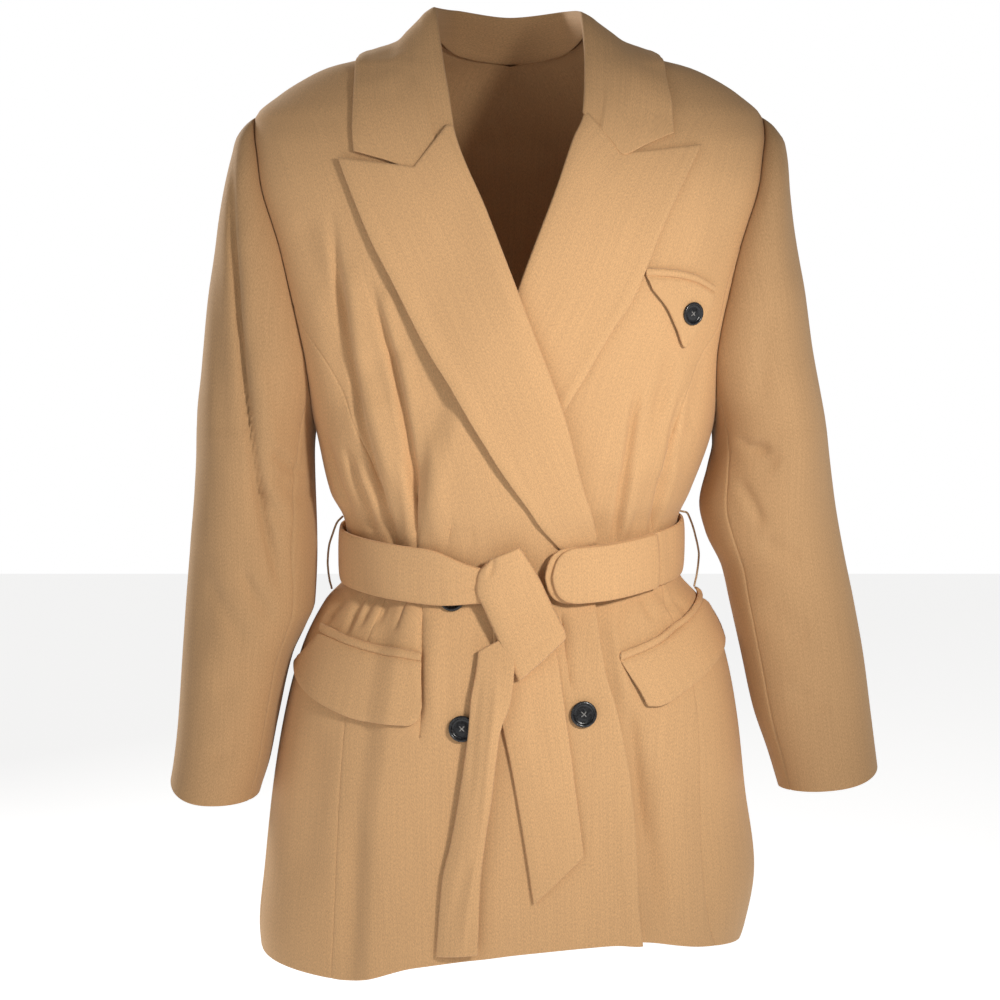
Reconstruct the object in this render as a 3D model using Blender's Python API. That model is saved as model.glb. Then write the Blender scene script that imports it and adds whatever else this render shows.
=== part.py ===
"""Tie-front blazer in its worn form: a lapped jacket with peaked lapels and a knotted tie belt.

Tables are in millimetres and degrees, meshes in metres. +Z is up, the front faces -Y and +X is the
wearer's left. The origin is the middle of the neck opening, between the shoulder seams.

The body is one smooth surface, given by an angle round the wearer (0 at the centre front, positive
towards the wearer's left) and a height. Every body panel is a stretch of it between two seams, and
what lies on a panel is the same surface moved out.
"""

import math

import bmesh
import bpy
import numpy as np

MM = 0.001
WALL = 2.0
LAPEL_WALL = 1.6
BELT_WALL = 3.0
SEAM = 0.3
RIGHT, LEFT = -1, 1

CLOTH = (0.62, 0.42, 0.23)
SHADE = (0.55, 0.37, 0.20)
HORN = (0.03, 0.03, 0.035)


def table(columns, *rows):
    """A short table, read as one array for each named column."""
    return dict(zip(columns.split(), np.array(rows, float).T))


# Slices of the body: half widths, depths and how square the slice is (2 is an ellipse).
TORSO = table(
    "height right left front back square",
    (40, 56, 57, 14, 46, 2.0),
    (26, 64, 66, 24, 56, 2.0),
    (20, 69, 70, 29, 62, 2.0),
    (12, 79, 79, 36, 68, 2.0),
    (3, 98, 98, 44, 74, 2.0),
    (-4, 118, 117, 50, 78, 2.0),
    (-12, 150, 148, 56, 82, 2.05),
    (-22, 171, 170, 62, 86, 2.1),
    (-34, 190, 189, 70, 90, 2.2),
    (-53, 211, 209, 80, 97, 2.45),
    (-75, 214, 214, 89, 102, 2.8),
    (-100, 214, 214, 97, 107, 2.9),
    (-160, 201, 201, 109, 111, 2.7),
    (-230, 185, 185, 116, 110, 2.5),
    (-310, 164, 171, 117, 104, 2.4),
    (-365, 152, 152, 111, 96, 2.3),
    (-387, 141, 142.5, 105.5, 91.5, 2.2),
    (-400, 138.5, 140.5, 103.5, 89.5, 2.2),
    (-420, 137, 139, 102, 88.5, 2.2),
    (-438, 139.5, 145, 103, 90, 2.2),
    (-460, 158, 164, 109, 98, 2.2),
    (-500, 178, 183, 122, 112, 2.25),
    (-560, 194, 195, 128, 122, 2.3),
    (-620, 204, 202, 132, 129, 2.3),
    (-690, 212, 211, 136, 133, 2.3),
    (-740, 217, 203, 138, 136, 2.3),
    (-766, 215, 192, 138, 136, 2.3),
)
SHOULDER_TIP = -53
UNDERARM = -310

# Front edges: neck seam, then roll line, then free edge below the belt.
FRONT_EDGE = {
    RIGHT: table(
        "height x",
        (20, -66), (0, -60), (-20, -56), (-40, -52), (-62, -49), (-130, -22), (-200, 5),
        (-289, 38), (-344, 52), (-395, 64), (-448, 67), (-497, 74), (-531, 84), (-583, 93),
        (-636, 97), (-766, 103),
    ),
    LEFT: table(
        "height x",
        (20, 67), (0, 65), (-30, 63), (-52, 62), (-71, 54), (-111, 40), (-155, 23), (-200, 6),
        (-300, -30), (-400, -60), (-448, -67), (-531, -82), (-636, -94), (-766, -102),
    ),
}
BACK_NECK = table("height x", (20, 67), (12, 61), (4, 50), (-1, 34), (-4, 18), (-6, 0))
PRINCESS = {
    RIGHT: table(
        "height x",
        (-205, -177.6), (-220, -170), (-244, -154), (-270, -140), (-340, -114), (-405, -95),
        (-440, -101), (-480, -118), (-540, -135), (-610, -141), (-766, -148),
    ),
    LEFT: table(
        "height x",
        (-157, 188.4), (-180, 180.5), (-190, 177), (-221, 171), (-245, 157), (-300, 137),
        (-395, 120), (-440, 127), (-480, 142), (-540, 155), (-640, 160), (-766, 165),
    ),
}
# How far in front of and behind the shoulder line the armhole seam lies.
ARMHOLE = table(
    "height front back",
    (-53, 0, 0), (-53.4, 4, 4), (-54.3, 8, 8), (-58.5, 18, 19), (-63, 24, 25), (-70, 31, 32),
    (-82, 39, 41), (-100, 47, 49), (-120, 52, 55), (-140, 55, 58), (-180, 57, 60),
    (-205, 57, 60), (-242, 55, 56), (-262, 50, 50), (-280, 42, 42),
    (-295, 29, 29), (-304, 17, 17), (-309, 6, 6), (-310, 0, 0),
)
SIDE_SEAM = table("height angle", (-310, 90), (-420, 87), (-500, 83), (-766, 82))
# The hem's real height round the body, in the rows' last stretch.
HEM = table(
    "angle height",
    (-180, -765), (-100, -756), (-70, -758), (-52, -758), (-30, -739), (0, -727), (36, -721),
    (60, -736), (85, -750), (100, -756), (180, -765),
)
HEM_STARTS, HEM_ROW = -600, -766

# Body and sleeves share the rows of the armhole, so that their seam edges match.
ARMHOLE_ROWS = (
    -53.4, -54.3, -58.5, -63, -70, -82, -100, -120, -140, -157, -180, -205, -240, -260, -276,
)
UNDERARM_ROWS = (-290, -302, -310)
BODY_ROWS = (
    (20, 12, 3, -6, -14, -24, -38, -53) + ARMHOLE_ROWS + UNDERARM_ROWS
    + (-332, -356, -378, -398, -420, -440, -460, -484, -512, -545, -580, -615, -650, -690, -730)
    + (-766,)
)
BACK_NECK_ROWS = (-1, -4)

# Folds of the body's cloth in front view: start, middle, end, width and depth (minus is a ridge).
BODY_FOLDS = table(
    "x0 z0 x1 z1 x2 z2 width depth",
    (-143, -175, -139, -245, -131, -300, 11, 4.5),
    (-131, -300, -112, -360, -92, -440, 11, 4.0),
    (-110, -235, -106, -262, -101, -285, 13, 2.5),
    (-76, -315, -69, -360, -70, -410, 12, 3.0),
    (-133, -350, -118, -385, -112, -410, 12, 3.0),
    (84, -330, 76, -365, 66, -405, 12, 3.5),
    (128, -338, 120, -365, 112, -395, 12, 3.0),
    (130, -265, 122, -290, 118, -320, 13, 2.5),
    (-160, -540, -165, -610, -178, -700, 17, 4.0),
    (-128, -452, -140, -466, -152, -474, 9, 2.5),
    (100, -560, 110, -620, 122, -690, 18, 3.5),
    (125, -450, 132, -466, 138, -478, 9, 2.5),
)

# The sleeves' outer and inner sides; half depths and centres are shared.
SLEEVE_OUT = {
    RIGHT: table(
        "height x",
        (-53, 211), (-53.4, 212), (-54.3, 213.4), (-58.5, 218.5), (-63, 222.5), (-70, 227),
        (-84, 231), (-118, 239), (-164, 247),
        (-204, 253), (-251, 258), (-299, 264), (-356, 266), (-413, 271), (-460, 275),
        (-504, 278), (-560, 282), (-594, 286), (-616, 290), (-646, 296),
    ),
    LEFT: table(
        "height x",
        (-53, 209), (-53.4, 210), (-54.3, 211.4), (-58.5, 217), (-63, 221), (-74, 228),
        (-99, 232), (-145, 238),
        (-199, 247), (-246, 254), (-312, 267), (-377, 276), (-421, 284), (-460, 292),
        (-504, 300), (-549, 306), (-599, 312.5), (-640, 318),
    ),
}
SLEEVE_IN = {
    RIGHT: table(
        "height x",
        (-310, 164.8), (-330, 166), (-413, 164), (-460, 166), (-480, 174), (-504, 185),
        (-560, 198), (-594, 205), (-616, 212), (-646, 221),
    ),
    LEFT: table(
        "height x",
        (-310, 171.8), (-325, 172), (-345, 168), (-377, 161), (-400, 166), (-430, 180),
        (-460, 187), (-504, 197), (-549, 207), (-587, 220), (-640, 236),
    ),
}
SLEEVE_DEPTH = table(
    "height half centre",
    (-53, 4, 0), (-53.4, 7, 0), (-54.3, 12, 0), (-58.5, 24, 0), (-63, 31, 0), (-70, 39, 0),
    (-82, 48, 0), (-100, 57, 0), (-120, 63, 0), (-140, 67, 0), (-160, 71, 0), (-200, 75, 0),
    (-260, 76, 0),
    (-310, 74, -1), (-380, 68, -4), (-440, 63, -8), (-500, 60, -14), (-560, 57, -20),
    (-640, 56, -28),
)
SLEEVE_SQUARE = 2.2
# The sleeve's lengthwise seams, as angles round it from its inner side.
SLEEVE_SEAM = table(
    "height angle", (-276, 46), (-310, 51), (-340, 54), (-400, 56), (-450, 49), (-640, 44)
)
UNDER_STARTS, SHIFT_FADE = -276, 6
CUFF = {
    RIGHT: table("angle height", (0, -621), (90, -619), (180, -606), (270, -613), (360, -621)),
    LEFT: table("angle height", (0, -616), (90, -606), (180, -596), (270, -606), (360, -616)),
}
CUFF_STARTS, CUFF_ROW = -560, -640
LOWER_SLEEVE_ROWS = (
    -276, -292, -310, -335, -360, -385, -410, -435, -460, -485, -510, -535, -560, -587, -614, -640,
)
UNDER_TOPS = (-277, -290, -302, -310, -302, -290, -277)
SLEEVE_FOLDS = table(
    "x0 z0 x1 z1 x2 z2 width depth",
    (-224, -150, -224, -240, -214, -330, 12, 4.0),
    (-214, -330, -200, -400, -182, -440, 10, 4.0),
    (-190, -340, -178, -362, -166, -372, 8, 3.5),
    (-205, -500, -225, -520, -245, -528, 12, 2.5),
    (238, -240, 232, -320, 228, -420, 16, -2.5),
    (196, -318, 208, -330, 220, -336, 9, 3.5),
    (208, -450, 230, -470, 250, -478, 12, 2.5),
)

# How high a lap lies on the body's surface.
LAP_LIFT = 7.0
LAP_FULL, LAP_NONE = 10, 35

# A lapel's section from the roll outwards: past the fold, then on the front.
ROLL_SECTION = {
    RIGHT: table("past out", (2.4, -1.0), (4.2, 1.6), (3.0, 4.6), (-2.0, 5.8)),
    LEFT: table("past out", (2.2, -0.8), (3.6, 1.2), (2.4, 3.3), (-2.0, 4.2)),
}
LAPEL_OUT = {RIGHT: 6.0, LEFT: 3.7}
LAPEL_TOP = {RIGHT: -62, LEFT: -52}
LAPEL_ENDS = -396
LAPEL_EDGE = {
    RIGHT: table(
        "height x",
        (-88, -136), (-120, -123), (-152, -109), (-188, -90), (-238, -64), (-265, -47),
        (-300, -27), (-332, -7), (-361, 13), (-386, 30), (-400, 41),
    ),
    LEFT: table(
        "height x",
        (-77, 152), (-111, 135), (-147, 118), (-173, 108), (-203, 94), (-223, 80), (-261, 58),
        (-293, 38), (-330, 10), (-370, -22), (-400, -43),
    ),
}
# Where the notch's apex lies along the top row, and how far below the straight line.
NOTCH = {RIGHT: (0.31, 25.0), LEFT: (0.31, 24.0)}
LAPEL_ROWS = 16
LAPEL_COLUMNS = (0.1, 0.2, 0.31, 0.45, 0.6, 0.75, 0.88, 1)

# The collar's lines from the wearer's right end round the back: neck seam, roll, fall and edge.
COLLAR_SEAM = table(
    "station x y z",
    (0, -46.6, -81, -61), (1, -50, -66, -36), (2, -55, -45, -9), (3, -63, -2, 17),
    (4, -45, 58.5, 1), (5, 0, 74.4, -6), (6, 45, 58.5, 1), (7, 63, -2, 17),
    (8, 61.5, -42, -6), (9, 60.4, -61, -28), (10, 59.5, -75.5, -51),
)
COLLAR_ROLL = table(
    "station x y z",
    (0, -45.5, -86, -61), (1, -50, -72, -37), (2, -56, -49, -4), (3, -62, -5, 37),
    (4, -46, 54, 38), (5, 0, 70, 33), (6, 46, 54, 37), (7, 58, -5, 33),
    (8, 61, -46, -2), (9, 61, -66, -29), (10, 58.5, -81, -51),
)
COLLAR_FALL = table(
    "station x y z",
    (0, -76, -97, -95), (1, -90, -78, -50), (2, -97, -53, -15), (3, -93, -3, 9),
    (4, -73, 64, 6), (5, 0, 84, 2), (6, 73, 64, 6), (7, 92, -3, 7),
    (8, 98, -51, -11), (9, 96, -75, -42), (10, 90, -92, -84),
)
COLLAR_EDGE = table(
    "station x y z",
    (0, -124, -85, -82), (1, -126, -76, -58), (2, -126, -57, -28), (3, -124, -4, -1),
    (4, -97, 69, -19), (5, 0, 95, -33), (6, 97, 69, -19), (7, 122, -4, -1),
    (8, 127, -55, -25), (9, 130, -72, -48), (10, 130, -78, -68),
)
# How many rows the collar has by each station of its wearer's right half.
COLLAR_ROWS = (0, 1.5, 3.5, 6.5, 11.5, 17)
COLLAR_WALL = 1.8
COLLAR_CLEAR = 4.6
COLLAR_TURN = 6.0
GORGE_GAP = {RIGHT: 3.0, LEFT: 4.6}

# Pockets in front view: each edge as points from the wearer's right to the wearer's left.
WELT_OUT, WELT_WALL = 4.6, 3.7
FLAP_OUT, FLAP_WALL = 4.0, 1.8
HIP_WELT = {
    RIGHT: table("x z", (-156, -473), (-128, -478), (-100, -482), (-70, -485)),
    LEFT: table("x z", (89, -485), (115, -477), (139, -466), (161, -451)),
}
HIP_WELT_HEIGHT = 6.0
HIP_FLAP_BOTTOM = {
    RIGHT: table(
        "share x z",
        (0, -177, -505), (0.06, -180, -512), (0.12, -176, -520), (0.3, -152, -533),
        (0.6, -115, -541), (0.86, -82, -541), (0.95, -72, -536), (1, -69, -526),
    ),
    LEFT: table(
        "share x z",
        (0, 107, -520), (0.05, 111, -528), (0.12, 119, -529), (0.4, 141, -520),
        (0.75, 168, -503), (0.9, 179, -493), (0.96, 181, -486), (1, 178, -478),
    ),
}
CHEST_WELT = table("x z", (108, -174), (127, -175), (146, -179), (163, -188))
CHEST_WELT_HEIGHT = 5.5
CHEST_FLAP_BOTTOM = table(
    "share x z",
    (0, 113, -191), (0.16, 124, -205), (0.32, 132, -222), (0.5, 139, -237), (0.66, 149, -226),
    (0.82, 159, -210), (1, 163, -198),
)

BUTTON_SECTION = table(
    "radius rise",
    (7.0, 0.0), (9.6, 0.4), (10.7, 1.4), (10.7, 2.6), (9.9, 3.5), (8.8, 3.6), (7.4, 2.6),
)
BUTTON_SIDES = 16
# Where each button sits, its size and its stand-off on the curved cloth.
BUTTONS = {
    "button_chest": (144, -210, 0.88, 0.3),
    "button_upper": (-45, -441, 1.0, 1.0),
    "button_lower_right": (-38, -542, 1.0, 0.5),
    "button_lower_left": (58, -531, 1.0, 0.5),
}

# The belt round the waist: its middle height and how far its inside stands off the cloth.
BELT_HALF = 22.3
BELT = table(
    "angle height out",
    (-180, -409, 4.8), (-90, -417, 4.8), (-66, -419, 6.5), (-42, -421, 12.5), (-22, -423, 15),
    (0, -422, 15), (22, -420, 15), (36, -419, 14), (62, -414, 6.5), (90, -410, 4.8),
    (180, -409, 4.8),
)
BELT_RIGHT_END, BELT_LEFT_END = -20, 27
BELT_COLUMNS = 25
LOOP_ENDS = (32, 113)
LOOP_GAP = 0.9

# The knot's band and the tails in front view, each row from the wearer's right to the left.
KNOT = table(
    "right_x right_z left_x left_z out bow",
    (-15, -406, 7, -396.5, 23.2, 0), (-23, -417, 14, -408, 23.6, 0.6),
    (-24.5, -430, 21, -421, 23.8, 1), (-18, -447, 28, -437, 23.4, 1),
    (-8, -470, 36, -453, 22.0, 1), (0, -487, 41, -463, 21.0, 0.8),
    (6.5, -500, 42.5, -468, 20.0, 0.4),
)
KNOT_WALL = 4.6
TAIL_RIGHT = table(
    "right_x right_z left_x left_z out bow",
    (-24, -479, 4, -463, 15.2, 0), (-26, -495, 3, -489, 15.2, 0.4), (-30, -517, 0, -517, 15.4, 1.5),
    (-32, -542, -8, -541, 15.6, 2.5), (-40, -598, -15, -598, 14.8, 3),
    (-46, -632, -20, -631, 13.8, 3), (-53, -663, -23.5, -663, 12.8, 3),
    (-56, -695, -25, -693, 11.8, 2.5), (-58.5, -727, -26, -723, 11.0, 2),
)
TAIL_LEFT = table(
    "right_x right_z left_x left_z out bow",
    (-13, -462, 32, -462, 11.2, 0), (-11, -490, 37, -487, 11.2, 0), (-7, -530, 42.5, -525, 11.2, 0),
    (1, -570, 47, -558, 11.2, 0.4), (8, -610, 51, -590, 11.2, 0.8), (14, -648, 55, -620, 11.2, 0.8),
    (19, -683, 58, -645, 11.2, 0.8),
)
CARRIER = {
    RIGHT: table(
        "x z",
        (-142.3, -388), (-147, -393), (-151, -403), (-154.5, -415), (-155.5, -428), (-154.5, -440),
        (-152.2, -450.5),
    ),
    LEFT: table(
        "x z",
        (145.2, -383.5), (150, -384.5), (154, -392), (158, -405), (161, -421), (160, -434),
        (157.3, -448.5),
    ),
}
CARRIER_RADIUS = 0.9


def curve(at, places, values):
    """A smooth curve through the values, with no overshoot, and level past both ends."""
    if places[0] > places[-1]:
        places, values = places[::-1], values[::-1]
    run = np.diff(places)
    slope = np.diff(values) / run
    before, after = slope[:-1], slope[1:]
    same_way = before * after > 0
    both = np.where(same_way, before + after, 1)
    inner = np.where(same_way, 2 * before * after / both, 0)
    tangent = np.concatenate([slope[:1], inner, slope[-1:]])
    at = np.clip(at, places[0], places[-1])
    k = np.clip(np.searchsorted(places, at, "right") - 1, 0, len(run) - 1)
    t = (at - places[k]) / run[k]
    rise = values[k + 1] - values[k]
    early, late = tangent[k] * run[k] - rise, rise - tangent[k + 1] * run[k]
    return values[k] + rise * t + t * (1 - t) * ((1 - t) * early + t * late)


def along(columns, name, at, key="height"):
    return curve(at, columns[key], columns[name])


def smoothstep(value):
    value = np.clip(value, 0, 1)
    return value * value * (3 - 2 * value)


def unit(vectors):
    return vectors / np.maximum(np.linalg.norm(vectors, axis=-1, keepdims=True), 1e-9)


def slice_at(angle, height):
    """Half width, depth and squareness of the body's slice on the angle's own side."""
    width = np.where(angle < 0, along(TORSO, "right", height), along(TORSO, "left", height))
    front, back = along(TORSO, "front", height), along(TORSO, "back", height)
    return width, np.where(np.abs(angle) < 90, front, back), along(TORSO, "square", height)


def torso(angle, height):
    """The body's surface before its folds, and its outward direction in plan."""
    width, depth, square = slice_at(angle, height)
    x, y = np.sin(np.radians(angle)), -np.cos(np.radians(angle))
    radius = ((np.abs(x) / width) ** square + (np.abs(y) / depth) ** square) ** (-1 / square)
    x, y = x * radius, y * radius
    out_x = np.sign(x) * (np.abs(x) / width) ** (square - 1) / width
    out_y = np.sign(y) * (np.abs(y) / depth) ** (square - 1) / depth
    point = np.stack([x, y, height + 0 * x], axis=-1)
    return point, unit(np.stack([out_x, out_y, 0 * x], axis=-1))


def angle_at_x(x, height, back=False):
    """The angle at which the body's slice has this x, on its front or its back."""
    width = np.where(x < 0, along(TORSO, "right", height), along(TORSO, "left", height))
    depth = along(TORSO, "back" if back else "front", height)
    square = along(TORSO, "square", height)
    share = np.clip(np.abs(x) / width, 0, 1)
    forward = depth * (1 - share**square) ** (1 / square)
    angle = np.degrees(np.arctan2(x, forward))
    return np.where(x < 0, -180 - angle, 180 - angle) if back else angle


def angle_at_y(y, height, side, back=False):
    """The angle at which the body's slice lies this far before or behind the shoulder line."""
    width = along(TORSO, "right" if side == RIGHT else "left", height)
    depth = along(TORSO, "back" if back else "front", height)
    square = along(TORSO, "square", height)
    across = width * (1 - np.clip(y / depth, 0, 1) ** square) ** (1 / square)
    angle = np.degrees(np.arctan2(across, y))
    return side * (180 - angle if back else angle)


def fold_depth(folds, x, z):
    """How far the folds sink the cloth at points of the front view."""
    depth = np.zeros(np.broadcast(x, z).shape)
    steps = np.linspace(0, 1, 9)
    for x0, z0, x1, z1, x2, z2, width, deep in zip(*folds.values()):
        path_x = (1 - steps) ** 2 * x0 + 2 * steps * (1 - steps) * x1 + steps**2 * x2
        path_z = (1 - steps) ** 2 * z0 + 2 * steps * (1 - steps) * z1 + steps**2 * z2
        nearest = np.full(depth.shape, np.inf)
        place = np.zeros(depth.shape)
        for k in range(len(steps) - 1):
            run_x, run_z = path_x[k + 1] - path_x[k], path_z[k + 1] - path_z[k]
            t = ((x - path_x[k]) * run_x + (z - path_z[k]) * run_z) / (run_x**2 + run_z**2)
            t = np.clip(t, 0, 1)
            away = np.hypot(x - path_x[k] - t * run_x, z - path_z[k] - t * run_z)
            place = np.where(away < nearest, (k + t) / (len(steps) - 1), place)
            nearest = np.minimum(nearest, away)
        ends = smoothstep(np.minimum(place, 1 - place) / 0.3 + 0.15)
        depth = depth + deep * ends * np.exp(-((nearest / width) ** 2))
    return depth


def under_belt(height):
    """1 on free cloth, falling to a fifth where the belt presses it flat."""
    return 1 - 0.8 * np.exp(-(((height + 419) / 30) ** 4))


def surface(angle, height):
    """The body's surface with its folds."""
    point, out = torso(angle, height)
    facing = np.clip(-out[..., 1], 0, 1) ** 0.5
    sunk = fold_depth(BODY_FOLDS, point[..., 0], height) * facing * under_belt(height)
    return point - out * sunk[..., None]


def skin(angle, height, out):
    """Points at this distance outside the body's surface."""
    angle, height, out = np.broadcast_arrays(
        np.asarray(angle, float), np.asarray(height, float), np.asarray(out, float)
    )
    turn = surface(angle + 0.5, height) - surface(angle - 0.5, height)
    climb = surface(angle, height + 1) - surface(angle, height - 1)
    return surface(angle, height) + unit(np.cross(turn, climb)) * out[..., None]


def hem_height(angle, height):
    """Bends the last rows so that the lowest one follows the hem."""
    share = np.clip((HEM_STARTS - height) / (HEM_STARTS - HEM_ROW), 0, 1)
    hem = along(HEM, "height", angle, key="angle")
    return height + share * (hem - HEM_ROW)


def lap_lift(x, height, full=LAP_FULL, none=LAP_NONE):
    """How high the wearer's right front rides over the left one."""
    edge = along(FRONT_EDGE[LEFT], "x", height)
    return LAP_LIFT * smoothstep((x - edge + none) / (none - full))


def set_finish(obj, name, colour, roughness):
    finish = bpy.data.materials.new(name)
    finish.use_nodes = True
    shader = finish.node_tree.nodes["Principled BSDF"]
    shader.inputs["Base Color"].default_value = (*colour, 1)
    shader.inputs["Roughness"].default_value = roughness
    obj.data.materials.append(finish)


def make(name, points, faces, colour=CLOTH, roughness=0.9):
    """One named object from points in millimetres."""
    mesh = bpy.data.meshes.new(name)
    mesh.from_pydata([tuple(p * MM for p in point) for point in points], [], faces)
    work = bmesh.new()
    work.from_mesh(mesh)
    bmesh.ops.recalc_face_normals(work, faces=work.faces)
    work.to_mesh(mesh)
    work.free()
    mesh.shade_smooth()
    mesh.set_sharp_from_angle(angle=math.radians(50))
    obj = bpy.data.objects.new(name, mesh)
    bpy.context.collection.objects.link(obj)
    set_finish(obj, name, colour, roughness)
    return obj


def sheet(name, face, lining, colour=CLOTH):
    """A cloth piece between two grids of points, closed round its edges."""
    rows, columns = face.shape[:2]
    index = np.arange(rows * columns).reshape(rows, columns)
    far = index + rows * columns
    faces = []
    for i in range(rows - 1):
        for j in range(columns - 1):
            a, b, c, d = index[i, j], index[i, j + 1], index[i + 1, j + 1], index[i + 1, j]
            e, f, g, h = far[i, j], far[i, j + 1], far[i + 1, j + 1], far[i + 1, j]
            faces += [(a, b, c), (a, c, d), (e, g, f), (e, h, g)]
    rim = [*index[0], *index[1:, -1], *index[-1, -2::-1], *index[-2:0:-1, 0]]
    past = rows * columns
    for a, b in zip(rim, rim[1:] + rim[:1]):
        faces += [(b, a, a + past), (b, a + past, b + past)]
    faces = [tuple(int(k) for k in face) for face in faces]
    return make(name, np.concatenate([face.reshape(-1, 3), lining.reshape(-1, 3)]), faces, colour)


def grid_out(points):
    """Outward directions of a grid of points, worked out from its neighbours."""
    down = np.gradient(points, axis=0)
    across = np.gradient(points, axis=1)
    return unit(np.cross(across, -down))


def trimmed(first, last, columns, points_apart):
    """Shares of the way across, with half a seam's gap left off at each end."""
    gap = (SEAM / 2) / np.maximum(points_apart, 1)
    share = np.linspace(0, 1, columns)
    share = gap[:, None] + share * (1 - 2 * gap[:, None])
    return first[:, None] + share * (last - first)[:, None]


def body_panel(name, rows, first, last, columns, lift=None, colour=CLOTH):
    """A panel of the body between two seams, each an angle for a height."""
    rows = np.array(rows, float)
    start, end = first(rows), last(rows)
    apart = np.linalg.norm(torso(start, rows)[0] - torso(end, rows)[0], axis=-1)
    angles = trimmed(start, end, columns, apart)
    heights = hem_height(angles, rows[:, None] + 0 * angles)
    raised = 0 * angles if lift is None else lift(torso(angles, heights)[0][..., 0], heights)
    return sheet(name, skin(angles, heights, raised), skin(angles, heights, raised - WALL), colour)


def front_edge(side):
    return lambda height: angle_at_x(along(FRONT_EDGE[side], "x", height), height)


def princess(side):
    return lambda height: angle_at_x(along(PRINCESS[side], "x", height), height)


def armhole(side, back=False):
    """The outer seam of a front or a back: shoulder seam, armhole, then side seam."""

    def seam(height):
        y = along(ARMHOLE, "back" if back else "front", height)
        hole = angle_at_y(y, height, side, back)
        lower = np.where(height > UNDERARM, hole, side * along(SIDE_SEAM, "angle", height))
        return np.where(height >= SHOULDER_TIP, side * 90.0, lower)

    return seam


def front_outer(side):
    """The outer seam of a centre front: the armhole as far down as the princess seam starts."""
    top = PRINCESS[side]["height"][0]
    return lambda height: np.where(height >= top, armhole(side)(height), princess(side)(height))


def add_body():
    for side, word in ((RIGHT, "right"), (LEFT, "left")):
        lift = lap_lift if side == RIGHT else None
        body_panel(f"front_{word}", BODY_ROWS, front_edge(side), front_outer(side), 12, lift)
        start = PRINCESS[side]["height"][0] - 3
        rows = [start] + [row for row in BODY_ROWS if row < start]
        body_panel(f"side_front_{word}", rows, princess(side), armhole(side), 6)
        centre = side * 180.0

        def inner(height, side=side, centre=centre):
            neck = angle_at_x(side * along(BACK_NECK, "x", height), height, back=True)
            return np.where(height > -6, neck, centre)

        rows = sorted(BODY_ROWS + BACK_NECK_ROWS, reverse=True)
        body_panel(f"back_{word}", rows, inner, armhole(side, back=True), 9)


def lapel(side):
    """Rows from the gorge down to the belt, columns from inside the roll to the outer edge."""
    share = np.linspace(0, 1, LAPEL_ROWS)[:, None]
    top = LAPEL_TOP[side] - GORGE_GAP[side]
    roll_z = top + share * (LAPEL_ENDS - top)
    edge_top, edge_end = LAPEL_EDGE[side]["height"][[0, -1]]
    edge_z = edge_top + share * (edge_end - edge_top)
    roll_x = along(FRONT_EDGE[side], "x", roll_z)
    edge_x = along(LAPEL_EDGE[side], "x", edge_z)
    across = np.array(LAPEL_COLUMNS)
    apex, drop = NOTCH[side]
    fade = np.clip(1 - share / 0.22, 0, 1) ** 1.5
    notch = drop * np.interp(across, [0, apex, 1], [0, 1, 0]) * fade
    x = roll_x + across * (edge_x - roll_x)
    z = roll_z + across * (edge_z - roll_z) - notch
    flat = 1 - 0.4 * smoothstep((share - 0.75) / 0.25)
    section = ROLL_SECTION[side]
    rolled_x = roll_x - side * section["past"]
    x = np.concatenate([rolled_x, x], axis=1)
    z = np.concatenate([roll_z + 0 * rolled_x, z], axis=1)
    out = np.concatenate([section["out"] * flat, LAPEL_OUT[side] * flat + 0 * across], axis=1)
    if side == RIGHT:
        out = out + lap_lift(x, z, full=0, none=80)
    return skin(angle_at_x(x, z), z, out)


def add_lapels():
    for side, word in ((RIGHT, "right"), (LEFT, "left")):
        face = lapel(side)
        out = grid_out(face) * side
        sheet(f"lapel_{word}", face, face - out * LAPEL_WALL)


def clear_of_torso(points, clear):
    """Points moved out where they lie nearer to the body's surface than this."""
    for _ in range(4):
        angle = np.degrees(np.arctan2(points[..., 0], -points[..., 1]))
        radius = np.hypot(points[..., 0], points[..., 1])

        def outside(radius_now, angle_now, height_now):
            on = torso(angle_now, height_now)[0]
            return radius_now - np.hypot(on[..., 0], on[..., 1])

        height = points[..., 2]
        here = outside(radius, angle, height)
        by_angle = outside(radius, angle + 0.5, height) - outside(radius, angle - 0.5, height)
        by_height = (outside(radius, angle, height + 1) - outside(radius, angle, height - 1)) / 2
        radial = unit(np.stack([points[..., 0], points[..., 1], 0 * radius], axis=-1))
        round_ = np.stack([-radial[..., 1], radial[..., 0], 0 * radius], axis=-1)
        up = np.array([0.0, 0.0, 1.0])
        slope = radial + round_ * (by_angle / np.radians(1) / radius)[..., None]
        slope = slope + up * by_height[..., None]
        steep = np.linalg.norm(slope, axis=-1)
        short = np.clip(clear - here / steep, 0, 8)
        points = points + unit(slope) * short[..., None]
    return points


def collar_line(lines, station):
    return np.stack([along(lines, axis, station, key="station") for axis in "xyz"], axis=-1)


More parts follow.
